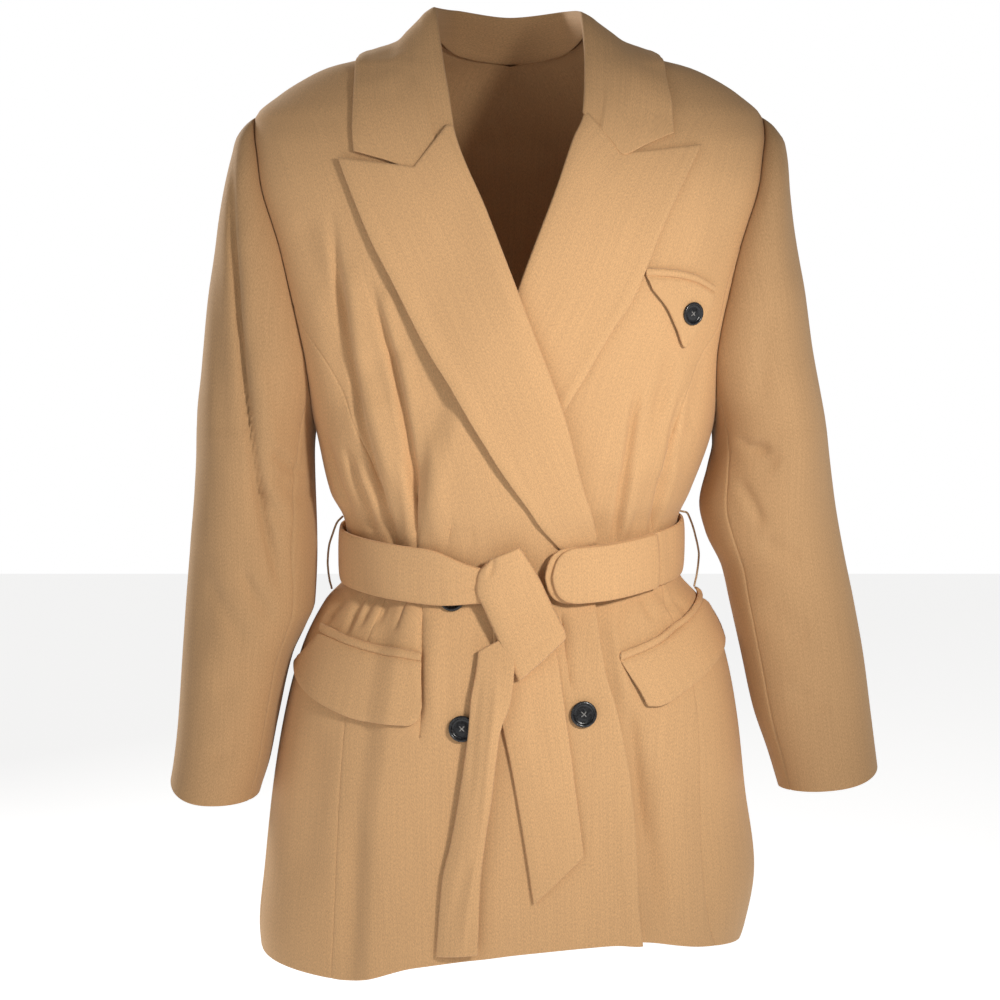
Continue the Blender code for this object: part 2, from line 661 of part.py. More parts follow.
def collar():
    """Rows along the collar, columns from the neck seam over the roll to the fall's edge."""
    half = np.interp(np.arange(COLLAR_ROWS[-1] + 1), COLLAR_ROWS, range(len(COLLAR_ROWS)))
    station = np.concatenate([half, 10 - half[-2::-1]])
    seam, roll = collar_line(COLLAR_SEAM, station), collar_line(COLLAR_ROLL, station)
    fall, edge = collar_line(COLLAR_FALL, station), collar_line(COLLAR_EDGE, station)
    stand = np.linalg.norm(roll - seam, axis=-1, keepdims=True)
    turn = np.minimum(COLLAR_TURN, stand * 0.6)
    outward = unit((fall - roll) * [1, 1, 0])
    before = roll + unit(seam - roll) * turn - outward * turn * 0.35
    after = roll + unit(fall - roll) * COLLAR_TURN + outward * 1.5
    after = after + np.array([0, 0, 1.0]) * turn * 0.2
    fall = clear_of_torso(fall, COLLAR_CLEAR)
    edge = clear_of_torso(edge, COLLAR_CLEAR)
    columns = [seam, before, roll, after]
    for share in (0.33, 0.67):
        columns.append(after + (fall - after) * share)
    columns.append(fall)
    for share in (0.5, 1.0):
        columns.append(fall + (edge - fall) * share)
    points = np.stack(columns, axis=1)
    points[:, 4:] = clear_of_torso(points[:, 4:], COLLAR_CLEAR)
    return points


def add_collar():
    face = collar()
    out = grid_out(face)
    sheet("collar", face, face - out * COLLAR_WALL)


def ring_shape(side, height):
    """A sleeve slice's centre, half width, half depth and, above the underarm, its seam's place."""
    depth = along(SLEEVE_DEPTH, "half", height)
    outer = along(SLEEVE_OUT[side], "x", height)
    front = angle_at_y(along(ARMHOLE, "front", height), height, side)
    back = angle_at_y(along(ARMHOLE, "back", height), height, side, back=True)
    hole_front, hole_back = torso(front, height)[0], torso(back, height)[0]
    chord = (hole_back[..., 1] - hole_front[..., 1]) / 2
    hole_x = np.abs(hole_front[..., 0] + hole_back[..., 0]) / 2
    share = (1 - np.clip(chord / depth, 0, 0.98) ** SLEEVE_SQUARE) ** (1 / SLEEVE_SQUARE)
    on_body = height > UNDERARM
    half = np.where(
        on_body, (outer - hole_x) / (1 + share), (outer - along(SLEEVE_IN[side], "x", height)) / 2
    )
    middle = (hole_back[..., 1] + hole_front[..., 1]) / 2
    centre_y = np.where(on_body, middle, along(SLEEVE_DEPTH, "centre", height))
    start = np.where(on_body, np.degrees(np.arctan2(chord, share * half)), 0)
    return outer - half, centre_y, half, depth, start


def sleeve_ring(side, turn, height):
    """A sleeve's surface: turn is 0 at its inner side, 90 in front and 180 outside."""
    centre_x, centre_y, half, depth, _ = ring_shape(side, height)
    c, s = np.cos(np.radians(turn)), np.sin(np.radians(turn))
    reach = (np.abs(c) / half) ** SLEEVE_SQUARE + (np.abs(s) / depth) ** SLEEVE_SQUARE
    radius = reach ** (-1 / SLEEVE_SQUARE)
    x = side * (centre_x - radius * c)
    y = centre_y - radius * s
    out = unit(np.stack([-side * c / half, -s / depth, 0 * x], axis=-1))
    facing = np.clip(-out[..., 1], 0, 1) ** 0.5
    sunk = fold_depth(SLEEVE_FOLDS, x, height) * facing
    return np.stack([x, y, height + 0 * x], axis=-1) - out * sunk[..., None]


def sleeve_skin(side, turn, height, out):
    round_ = sleeve_ring(side, turn + 1, height) - sleeve_ring(side, turn - 1, height)
    climb = sleeve_ring(side, turn, height + 1) - sleeve_ring(side, turn, height - 1)
    outward = side * unit(np.cross(round_, climb))
    return sleeve_ring(side, turn, height) + outward * np.asarray(out)[..., None]


def cuff_height(side, turn, height):
    share = np.clip((CUFF_STARTS - height) / (CUFF_STARTS - CUFF_ROW), 0, 1)
    return height + share * (along(CUFF[side], "height", turn % 360, key="angle") - CUFF_ROW)


def seam_turn(side, height):
    """Where the sleeve's front seam lies: on the armhole, then easing to its line down the sleeve."""
    on_hole = ring_shape(side, np.maximum(height, UNDER_STARTS))[4]
    share = np.clip((height - UNDER_STARTS) / (CUFF_ROW - UNDER_STARTS), 0, 1)
    return on_hole + (along(SLEEVE_SEAM, "angle", height) - on_hole) * (1 - (1 - share) ** 4)


def hole_point(side, height, back=False):
    """The armhole seam on the body, a seam's gap towards the sleeve."""
    y = along(ARMHOLE, "back" if back else "front", height)
    point = skin(angle_at_y(y, height, side, back), height, 0)
    point[..., 0] += side * SEAM
    return point


def hole_shift(rows, lowest, shift):
    """A seam's shift to the armhole, fading down the sleeve below the under sleeve's start."""
    share = np.clip((rows - UNDER_STARTS) / (CUFF_ROW - UNDER_STARTS), 0, 1)[:, None]
    faded = shift[lowest] * (1 - share) ** SHIFT_FADE
    return np.where(rows[:, None] >= UNDER_STARTS, shift, faded)[:, None]


def upper_sleeve(side, columns=10):
    rows = np.array(ARMHOLE_ROWS[:-1] + LOWER_SLEEVE_ROWS, float)
    start = seam_turn(side, rows)
    shape = ring_shape(side, rows)
    gap = np.degrees(SEAM / 2 / np.maximum(shape[2], 8)) + 0.2
    share = np.linspace(0, 1, columns)
    turn = (start + gap)[:, None] + share * (360 - 2 * start - 2 * gap)[:, None]
    height = cuff_height(side, turn, rows[:, None] + 0 * turn)
    wall = np.interp(-rows, [53.4, 63, 82], [0.6, 1.4, WALL])[:, None] + 0 * turn
    face, lining = sleeve_skin(side, turn, height, 0 * turn), sleeve_skin(side, turn, height, -wall)
    lowest = int(np.argmin(np.abs(rows - UNDER_STARTS)))
    front = hole_shift(rows, lowest, hole_point(side, rows) - face[:, 0])
    back = hole_shift(rows, lowest, hole_point(side, rows, back=True) - face[:, -1])
    share = share[None, :, None]
    shift = front * (1 - share) ** 4 + back * share**4
    return face + shift, lining + shift


def under_sleeve(side):
    """Columns hang from the armhole's lower curve and end at the cuff."""
    tops = np.array(UNDER_TOPS, float)
    half_way = len(tops) // 2
    sign = np.sign(half_way - np.arange(len(tops)))
    first = sign * ring_shape(side, np.maximum(tops, UNDERARM + 0.01))[4]
    even = np.linspace(1, -1, len(tops))
    rows = np.array(LOWER_SLEEVE_ROWS, float)[:, None]
    share = (rows - UNDER_STARTS) / (CUFF_ROW - UNDER_STARTS)
    nominal = tops + share * (CUFF_ROW - tops)
    gap = np.degrees(SEAM / 2 / 45) + 0.2
    start = seam_turn(side, np.full(tops.shape, UNDER_STARTS, float))
    spread = even * (seam_turn(side, nominal) - gap)
    turn = spread + (first - np.sign(first) * gap - even * (start - gap)) * (1 - share) ** 2
    height = cuff_height(side, turn, nominal)
    zero = 0 * turn
    face = sleeve_skin(side, turn, height, zero)
    lining = sleeve_skin(side, turn, height, zero - WALL)
    is_back = np.arange(len(tops)) > half_way
    hole = np.where(is_back[:, None], hole_point(side, tops, back=True), hole_point(side, tops))
    shift = (hole - face[0]) * (1 - share[..., None]) ** SHIFT_FADE
    return face + shift, lining + shift


def add_sleeves():
    for side, word in ((RIGHT, "right"), (LEFT, "left")):
        sheet(f"upper_sleeve_{word}", *upper_sleeve(side), SHADE)
        sheet(f"under_sleeve_{word}", *under_sleeve(side), SHADE)


def front_strip(name, side, top, bottom, shares, rows, out, wall):
    """A piece on one front between a top and a bottom edge, each a function of the share across."""
    down = np.linspace(0, 1, rows)[:, None, None]
    points = top(shares)[None] * (1 - down) + bottom(shares)[None] * down
    x, z = points[..., 0], points[..., 1]
    angle = angle_at_x(x, z)
    if side == RIGHT:
        out = out + lap_lift(x, z)
    return sheet(name, skin(angle, z, out), skin(angle, z, out - wall))


def edge_of(points, lower=0.0):
    """The edge through a table's x and z, as a function of the share across."""
    places = points.get("share", np.linspace(0, 1, len(points["x"])))
    return lambda share: np.stack(
        [curve(share, places, points["x"]), curve(share, places, points["z"]) - lower], axis=-1
    )


def add_pocket(names, side, welt, height, flap, shares, rows):
    """A welt and, a seam's gap under it, a flap."""
    low, under = edge_of(welt, height), edge_of(welt, height + SEAM)
    front_strip(names[0], side, edge_of(welt), low, shares, 2, WELT_OUT, WELT_WALL)
    front_strip(names[1], side, under, edge_of(flap), shares, rows, FLAP_OUT, FLAP_WALL)


def add_pockets():
    shares = np.array([0, 0.06, 0.12, 0.28, 0.45, 0.62, 0.78, 0.9, 0.95, 1])
    for side, word in ((RIGHT, "right"), (LEFT, "left")):
        names = f"hip_welt_{word}", f"hip_flap_{word}"
        add_pocket(names, side, HIP_WELT[side], HIP_WELT_HEIGHT, HIP_FLAP_BOTTOM[side], shares, 5)
    names, shares = ("chest_welt", "chest_flap"), np.linspace(0, 1, 9)
    add_pocket(names, LEFT, CHEST_WELT, CHEST_WELT_HEIGHT, CHEST_FLAP_BOTTOM, shares, 6)


def add_button(name, x, z, scale, rise):
    """A turned button with a raised rim and a bowl, its back towards the cloth."""
    angle = angle_at_x(x, z)
    seat = skin(angle, z, rise)
    out = unit(skin(angle, z, rise + 10) - seat)
    side = unit(np.cross([0, 0, 1.0], out))
    up = np.cross(out, side)
    turns = np.radians(np.arange(BUTTON_SIDES) * 360 / BUTTON_SIDES)
    ring = np.cos(turns)[:, None] * side + np.sin(turns)[:, None] * up
    points = [seat]
    for radius, rise in zip(BUTTON_SECTION["radius"], BUTTON_SECTION["rise"]):
        points.extend(seat + scale * radius * ring + scale * rise * out)
    points.append(seat + scale * 2.4 * out)
    faces = []
    levels, n = len(BUTTON_SECTION["radius"]), BUTTON_SIDES
    for k in range(n):
        after = (k + 1) % n
        faces.append((0, 1 + after, 1 + k))
        for level in range(levels - 1):
            low, high = 1 + level * n, 1 + (level + 1) * n
            faces.append((low + k, low + after, high + after, high + k))
        last = 1 + (levels - 1) * n
        faces.append((last + k, last + after, 1 + levels * n))
    make(name, points, faces, HORN, 0.35)


def add_buttons():
    for name, (x, z, scale, gap) in BUTTONS.items():
        under = FLAP_OUT if name == "button_chest" else float(lap_lift(x, z))
        add_button(name, x, z, scale, under + gap)


def belt_band(angles, out, low=None, high=None):
    """A strip of the belt, standing upright on the waist without its folds."""
    middle = along(BELT, "height", angles, key="angle")
    low = -BELT_HALF + 0 * angles if low is None else low
    high = BELT_HALF + 0 * angles if high is None else high
    point, direction = torso(angles, middle)
    off = (along(BELT, "out", angles, key="angle") + out)[:, None]
    at = point + direction * off
    rows = []
    for share in (1, 0.5, 0):
        row = at.copy()
        row[:, 2] = middle + low + share * (high - low)
        rows.append(row)
    return np.stack(rows)


def round_end(x, end, reach):
    """Half the belt's height near a rounded end."""
    share = np.clip(np.abs(x - end) / reach, 0, 1)
    return BELT_HALF * (1 - (1 - share) ** 2.4) ** (1 / 2.4)


def belt_strip(name, angles, out, wall, half):
    low, high = -half, half
    sheet(name, belt_band(angles, out + wall, low, high), belt_band(angles, out, low, high))


def add_belt():
    waist = along(BELT, "height", 0.0, key="angle")
    right_end = angle_at_x(BELT_RIGHT_END, waist)
    angles = np.linspace(-180 + 0.06, float(right_end), BELT_COLUMNS)
    belt_strip("belt_right", angles, 0.0, BELT_WALL, BELT_HALF + 0 * angles)
    ends = [BELT_LEFT_END, *np.array([1.5, 5, 11, 20]) + BELT_LEFT_END]
    rounded = angle_at_x(np.array(ends, float), waist)
    angles = np.concatenate([rounded, np.linspace(rounded[-1], 180 - 0.06, BELT_COLUMNS - 3)[1:]])
    x = torso(angles, waist)[0][:, 0]
    front = np.abs(angles) < 60
    half = np.where(front, np.maximum(round_end(x, BELT_LEFT_END, 20), 7), BELT_HALF)
    belt_strip("belt_left", angles, 0.0, BELT_WALL, half)
    first, last = LOOP_ENDS
    rounded = [first, first + 1.5, first + 5, first + 11, first + 20]
    places = np.array([*rounded, 66, 82, 98, last], float)
    angles = angle_at_x(places, waist)
    half = np.maximum(round_end(places, first, 20), 7)
    belt_strip("belt_loop", angles, BELT_WALL + LOOP_GAP, BELT_WALL, half)


def hung_strip(name, rows, columns, wall, sink=0.0):
    """A strip in front view, from a row table, bowed outwards and thinner by sink at its edges."""
    share = np.linspace(0, 1, columns)
    x = rows["right_x"][:, None] * (1 - share) + rows["left_x"][:, None] * share
    z = rows["right_z"][:, None] * (1 - share) + rows["left_z"][:, None] * share
    out = rows["out"][:, None] + rows["bow"][:, None] * np.sin(np.pi * share)
    point, direction = torso(angle_at_x(x, z), z)
    face = point + direction * (out - sink * (2 * share - 1) ** 4)[..., None]
    sheet(name, face, point + direction * (out - wall)[..., None])


def denser(rows, count):
    """The same table with more rows, on smooth curves through its own."""
    places = np.arange(len(rows["out"]), dtype=float)
    at = np.linspace(0, places[-1], count)
    return {name: curve(at, places, values) for name, values in rows.items()}


def add_knot_and_tails():
    hung_strip("belt_knot", denser(KNOT, 11), 7, KNOT_WALL, sink=1.4)
    hung_strip("belt_tail_right", denser(TAIL_RIGHT, 14), 6, BELT_WALL)
    hung_strip("belt_tail_left", denser(TAIL_LEFT, 10), 5, BELT_WALL)


def add_carriers():
    for side, word in ((RIGHT, "right"), (LEFT, "left")):
        rows = CARRIER[side]
        places = np.arange(len(rows["x"]), dtype=float)
        at = np.linspace(0, places[-1], 13)
        name = f"belt_carrier_{word}"
        data = bpy.data.curves.new(name, "CURVE")
        data.dimensions = "3D"
        data.bevel_depth = CARRIER_RADIUS * MM
        data.bevel_resolution = 1
        data.use_fill_caps = True
        line = data.splines.new("POLY")
        line.points.add(len(at) - 1)
        for k, place in enumerate(at):
            x, z = curve(place, places, rows["x"]), curve(place, places, rows["z"])
            line.points[k].co = (x * MM, 0, z * MM, 1)
        obj = bpy.data.objects.new(name, data)
        bpy.context.collection.objects.link(obj)
        set_finish(obj, name, SHADE, 0.9)


def main():
    for obj in list(bpy.data.objects):
        bpy.data.objects.remove(obj)
    add_body()
    add_lapels()
    add_collar()
    add_sleeves()
    add_pockets()
    add_buttons()
    add_belt()
    add_knot_and_tails()
    add_carriers()


if __name__ == "__main__":
    main()
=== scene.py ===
"""Looks of the tie-front blazer, in its worn form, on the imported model.

Tables are in millimetres and degrees, meshes in metres. +Z is up, the front faces -Y and +X is the
wearer's left. Every cloth piece is a thin shell on its solid's form: the solid's own surface at a
finer grid, with its creases, seams, pressed edges and weave.
"""

import math

import bpy
import numpy as np
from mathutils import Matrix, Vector


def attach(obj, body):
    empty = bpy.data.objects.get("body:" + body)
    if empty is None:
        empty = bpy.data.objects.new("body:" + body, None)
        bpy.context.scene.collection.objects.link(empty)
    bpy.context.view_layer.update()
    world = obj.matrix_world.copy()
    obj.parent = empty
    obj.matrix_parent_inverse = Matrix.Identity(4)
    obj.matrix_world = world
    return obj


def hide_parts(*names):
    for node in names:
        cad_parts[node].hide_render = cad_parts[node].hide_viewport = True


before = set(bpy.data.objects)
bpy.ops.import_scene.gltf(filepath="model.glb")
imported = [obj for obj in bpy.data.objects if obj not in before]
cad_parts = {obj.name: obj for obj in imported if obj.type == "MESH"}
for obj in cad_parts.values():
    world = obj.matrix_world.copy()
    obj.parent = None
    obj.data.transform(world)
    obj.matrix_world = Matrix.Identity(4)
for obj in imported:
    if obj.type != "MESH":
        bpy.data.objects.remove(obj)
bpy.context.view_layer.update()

MM = 0.001
RIGHT, LEFT = -1, 1
SIDES = ((RIGHT, "right"), (LEFT, "left"))


def table(columns, *rows):
    """A short table, read as one array for each named column."""
    return dict(zip(columns.split(), np.array(rows, float).T))


def pair(columns, right, left):
    """A table for each side."""
    return {RIGHT: table(columns, *right), LEFT: table(columns, *left)}


def folds(*rows):
    """Folds in front view: start, middle, end, width and depth (a minus is a ridge)."""
    return table("x0 z0 x1 z1 x2 z2 width depth", *rows)


# Slices of the body: half widths, depths and how square the slice is (2 is an ellipse).
TORSO = table(
    "height right left front back square",
    (40, 56, 57, 14, 46, 2.0),
    (26, 64, 66, 24, 56, 2.0),
    (20, 69, 70, 29, 62, 2.0),
    (12, 79, 79, 36, 68, 2.0),
    (3, 98, 98, 44, 74, 2.0),
    (-4, 118, 117, 50, 78, 2.0),
    (-12, 150, 148, 56, 82, 2.05),
    (-22, 171, 170, 62, 86, 2.1),
    (-34, 190, 189, 70, 90, 2.2),
    (-53, 211, 209, 80, 97, 2.45),
    (-75, 214, 214, 89, 102, 2.8),
    (-100, 214, 214, 97, 107, 2.9),
    (-160, 201, 201, 109, 111, 2.7),
    (-230, 185, 185, 116, 110, 2.5),
    (-310, 164, 171, 117, 104, 2.4),
    (-365, 152, 152, 111, 96, 2.3),
    (-387, 141, 142.5, 105.5, 91.5, 2.2),
    (-400, 138.5, 140.5, 103.5, 89.5, 2.2),
    (-420, 137, 139, 102, 88.5, 2.2),
    (-438, 139.5, 145, 103, 90, 2.2),
    (-460, 158, 164, 109, 98, 2.2),
    (-500, 178, 183, 122, 112, 2.25),
    (-560, 194, 195, 128, 122, 2.3),
    (-620, 204, 202, 132, 129, 2.3),
    (-690, 212, 211, 136, 133, 2.3),
    (-740, 217, 203, 138, 136, 2.3),
    (-766, 215, 192, 138, 136, 2.3),
)
TOP_ROW, SHOULDER_TIP, UNDERARM = 20, -53, -310

# Front edges: neck seam, then roll line, then free edge below the belt.
FRONT_EDGE = pair(
    "height x",
    (
        (20, -66), (0, -60), (-20, -56), (-40, -52), (-62, -49), (-130, -22), (-200, 5),
        (-289, 38), (-344, 52), (-395, 64), (-448, 67), (-497, 74), (-531, 84), (-583, 93),
        (-636, 97), (-766, 103),
    ),
    (
        (20, 67), (0, 65), (-30, 63), (-52, 62), (-71, 54), (-111, 40), (-155, 23), (-200, 6),
        (-300, -30), (-400, -60), (-448, -67), (-531, -82), (-636, -94), (-766, -102),
    ),
)
BACK_NECK = table("height x", (20, 67), (12, 61), (4, 50), (-1, 34), (-4, 18), (-6, 0))
PRINCESS = pair(
    "height x",
    (
        (-205, -177.6), (-220, -170), (-244, -154), (-270, -140), (-340, -114), (-405, -95),
        (-440, -101), (-480, -118), (-540, -135), (-610, -141), (-766, -148),
    ),
    (
        (-157, 188.4), (-180, 180.5), (-190, 177), (-221, 171), (-245, 157), (-300, 137),
        (-395, 120), (-440, 127), (-480, 142), (-540, 155), (-640, 160), (-766, 165),
    ),
)
SIDE_FRONT_BELOW = 3
# How far in front of and behind the shoulder line the armhole seam lies.
ARMHOLE = table(
    "height front back",
    (-53, 0, 0), (-53.4, 4, 4), (-54.3, 8, 8), (-58.5, 18, 19), (-63, 24, 25), (-70, 31, 32),
    (-82, 39, 41), (-100, 47, 49), (-120, 52, 55), (-140, 55, 58), (-180, 57, 60),
    (-205, 57, 60), (-242, 55, 56), (-262, 50, 50), (-280, 42, 42),
    (-295, 29, 29), (-304, 17, 17), (-309, 6, 6), (-310, 0, 0),
)
SIDE_SEAM = table("height angle", (-310, 90), (-420, 87), (-500, 83), (-766, 82))
# The hem's real height round the body, in the rows' last stretch.
HEM = table(
    "angle height",
    (-180, -765), (-100, -756), (-70, -758), (-52, -758), (-30, -739), (0, -727), (36, -721),
    (60, -736), (85, -750), (100, -756), (180, -765),
)
HEM_STARTS, HEM_ROW = -600, -766

# The body's large folds, which its solids have too.
BODY_FOLDS = folds(
    (-143, -175, -139, -245, -131, -300, 11, 4.5),
    (-131, -300, -112, -360, -92, -440, 11, 4.0),
    (-110, -235, -106, -262, -101, -285, 13, 2.5),
    (-76, -315, -69, -360, -70, -410, 12, 3.0),
    (-133, -350, -118, -385, -112, -410, 12, 3.0),
    (84, -330, 76, -365, 66, -405, 12, 3.5),
    (128, -338, 120, -365, 112, -395, 12, 3.0),
    (130, -265, 122, -290, 118, -320, 13, 2.5),
    (-160, -540, -165, -610, -178, -700, 17, 4.0),
    (-128, -452, -140, -466, -152, -474, 9, 2.5),
    (100, -560, 110, -620, 122, -690, 18, 3.5),
    (125, -450, 132, -466, 138, -478, 9, 2.5),
)

# The sleeves' outer and inner sides; half depths and centres are shared.
SLEEVE_OUT = pair(
    "height x",
    (
        (-53, 211), (-53.4, 212), (-54.3, 213.4), (-58.5, 218.5), (-63, 222.5), (-70, 227),
        (-84, 231), (-118, 239), (-164, 247),
        (-204, 253), (-251, 258), (-299, 264), (-356, 266), (-413, 271), (-460, 275),
        (-504, 278), (-560, 282), (-594, 286), (-616, 290), (-646, 296),
    ),
    (
        (-53, 209), (-53.4, 210), (-54.3, 211.4), (-58.5, 217), (-63, 221), (-74, 228),
        (-99, 232), (-145, 238),
        (-199, 247), (-246, 254), (-312, 267), (-377, 276), (-421, 284), (-460, 292),
        (-504, 300), (-549, 306), (-599, 312.5), (-640, 318),
    ),
)
SLEEVE_IN = pair(
    "height x",
    (
        (-310, 164.8), (-330, 166), (-413, 164), (-460, 166), (-480, 174), (-504, 185),
        (-560, 198), (-594, 205), (-616, 212), (-646, 221),
    ),
    (
        (-310, 171.8), (-325, 172), (-345, 168), (-377, 161), (-400, 166), (-430, 180),
        (-460, 187), (-504, 197), (-549, 207), (-587, 220), (-640, 236),
    ),
)
SLEEVE_DEPTH = table(
    "height half centre",
    (-53, 4, 0), (-53.4, 7, 0), (-54.3, 12, 0), (-58.5, 24, 0), (-63, 31, 0), (-70, 39, 0),
    (-82, 48, 0), (-100, 57, 0), (-120, 63, 0), (-140, 67, 0), (-160, 71, 0), (-200, 75, 0),
    (-260, 76, 0),
    (-310, 74, -1), (-380, 68, -4), (-440, 63, -8), (-500, 60, -14), (-560, 57, -20),
    (-640, 56, -28),
)
SLEEVE_SQUARE = 2.2
# The sleeve's lengthwise seams, as angles round it from its inner side.
SLEEVE_SEAM = table(
    "height angle", (-276, 46), (-310, 51), (-340, 54), (-400, 56), (-450, 49), (-640, 44)
)
UNDER_STARTS, SHIFT_FADE = -276, 6
CUFF = pair(
    "angle height",
    ((0, -621), (90, -619), (180, -606), (270, -613), (360, -621)),
    ((0, -616), (90, -606), (180, -596), (270, -606), (360, -616)),
)
CUFF_STARTS, CUFF_ROW = -560, -640
SLEEVE_FOLDS = folds(
    (-224, -150, -224, -240, -214, -330, 12, 4.0),
    (-214, -330, -200, -400, -182, -440, 10, 4.0),
    (-190, -340, -178, -362, -166, -372, 8, 3.5),
    (-205, -500, -225, -520, -245, -528, 12, 2.5),
    (238, -240, 232, -320, 228, -420, 16, -2.5),
    (196, -318, 208, -330, 220, -336, 9, 3.5),
    (208, -450, 230, -470, 250, -478, 12, 2.5),
)

# How high a lap lies on the body's surface.
LAP_LIFT = 7.0
LAP_FULL, LAP_NONE = 10, 35

# A lapel's section from the roll outwards: past the fold, then on the front.
ROLL_SECTION = pair(
    "past out",
    ((2.4, -1.0), (4.2, 1.6), (3.0, 4.6), (-2.0, 5.8)),
    ((2.2, -0.8), (3.6, 1.2), (2.4, 3.3), (-2.0, 4.2)),
)
LAPEL_OUT = {RIGHT: 6.0, LEFT: 3.7}
LAPEL_TOP = {RIGHT: -62, LEFT: -52}
LAPEL_ENDS = -396
LAPEL_EDGE = pair(
    "height x",
    (
        (-88, -136), (-120, -123), (-152, -109), (-188, -90), (-238, -64), (-265, -47),
        (-300, -27), (-332, -7), (-361, 13), (-386, 30), (-400, 41),
    ),
    (
        (-77, 152), (-111, 135), (-147, 118), (-173, 108), (-203, 94), (-223, 80), (-261, 58),
        (-293, 38), (-330, 10), (-370, -22), (-400, -43),
    ),
)
# Where the notch's apex lies along the top row, and how far below the straight line.
NOTCH = {RIGHT: (0.31, 25.0), LEFT: (0.31, 24.0)}

# The collar's lines from the wearer's right end round the back: neck seam, roll, fall and edge.
COLLAR_SEAM = table(
    "station x y z",
    (0, -46.6, -81, -61), (1, -50, -66, -36), (2, -55, -45, -9), (3, -63, -2, 17),
    (4, -45, 58.5, 1), (5, 0, 74.4, -6), (6, 45, 58.5, 1), (7, 63, -2, 17),
    (8, 61.5, -42, -6), (9, 60.4, -61, -28), (10, 59.5, -75.5, -51),
)
COLLAR_ROLL = table(
    "station x y z",
    (0, -45.5, -86, -61), (1, -50, -72, -37), (2, -56, -49, -4), (3, -62, -5, 37),
    (4, -46, 54, 38), (5, 0, 70, 33), (6, 46, 54, 37), (7, 58, -5, 33),
    (8, 61, -46, -2), (9, 61, -66, -29), (10, 58.5, -81, -51),
)
COLLAR_FALL = table(
    "station x y z",
    (0, -76, -97, -95), (1, -90, -78, -50), (2, -97, -53, -15), (3, -93, -3, 9),
    (4, -73, 64, 6), (5, 0, 84, 2), (6, 73, 64, 6), (7, 92, -3, 7),
    (8, 98, -51, -11), (9, 96, -75, -42), (10, 90, -92, -84),
)
COLLAR_EDGE = table(
    "station x y z",
    (0, -124, -85, -82), (1, -126, -76, -58), (2, -126, -57, -28), (3, -124, -4, -1),
    (4, -97, 69, -19), (5, 0, 95, -33), (6, 97, 69, -19), (7, 122, -4, -1),
    (8, 127, -55, -25), (9, 130, -72, -48), (10, 130, -78, -68),
)
# How many rows the collar has by each station of its wearer's right half.
COLLAR_ROWS = (0, 1.5, 3.5, 6.5, 11.5, 17)
COLLAR_CLEAR = 4.6
COLLAR_TURN = 6.0

# Pockets in front view: each edge as points from the wearer's right to the wearer's left.
WELT_OUT, FLAP_OUT = 4.6, 4.0
WELT_WALL, UNDER_WELT = 3.0, 0.05
HIP_WELT = pair(
    "x z",
    ((-156, -473), (-128, -478), (-100, -482), (-70, -485)),
    ((89, -485), (115, -477), (139, -466), (161, -451)),
)
HIP_WELT_HEIGHT = 6.0
HIP_FLAP_BOTTOM = pair(
    "share x z",
    (
        (0, -177, -505), (0.06, -180, -512), (0.12, -176, -520), (0.3, -152, -533),
        (0.6, -115, -541), (0.86, -82, -541), (0.95, -72, -536), (1, -69, -526),
    ),
    (
        (0, 107, -520), (0.05, 111, -528), (0.12, 119, -529), (0.4, 141, -520),
        (0.75, 168, -503), (0.9, 179, -493), (0.96, 181, -486), (1, 178, -478),
    ),
)
CHEST_WELT = table("x z", (108, -174), (127, -175), (146, -179), (163, -188))
CHEST_WELT_HEIGHT = 5.5
CHEST_FLAP_BOTTOM = table(
    "share x z",
    (0, 113, -191), (0.16, 124, -205), (0.32, 132, -222), (0.5, 139, -237), (0.66, 149, -226),
    (0.82, 159, -210), (1, 163, -198),
)

BUTTON_SIDES = 64
# Where each button sits, its size and its stand-off on the curved cloth.
BUTTONS = {
    "button_chest": (144, -210, 0.88, 0.3),
    "button_upper": (-45, -441, 1.0, 1.0),
    "button_lower_right": (-38, -542, 1.0, 0.5),
    "button_lower_left": (58, -531, 1.0, 0.5),
}

# The belt round the waist: its middle height and how far its inside stands off the cloth. It
# holds the cloth's folds down this far above and below the waist.
BELT_HALF, WAIST, BELT_HOLDS = 22.3, -419, 30
BELT = table(
    "angle height out",
    (-180, -409, 4.8), (-90, -417, 4.8), (-66, -419, 6.5), (-42, -421, 12.5), (-22, -423, 15),
    (0, -422, 15), (22, -420, 15), (36, -419, 14), (62, -414, 6.5), (90, -410, 4.8),
    (180, -409, 4.8),
)
BELT_RIGHT_END, BELT_LEFT_END = -20, 27
BELT_BACK_END = 180 - 0.04
LOOP_ENDS = (32, 113)
LOOP_GAP = 0.9
END_REACH, END_HALF = 20, 5
ROUND_END_STEPS = (0, 0.4, 1, 2, 3.5, 5, 7, 9, 12, 15, 18, 21)
BELT_RIGHT_COLUMNS, BELT_LEFT_COLUMNS, LOOP_COLUMNS = 190, 180, 44

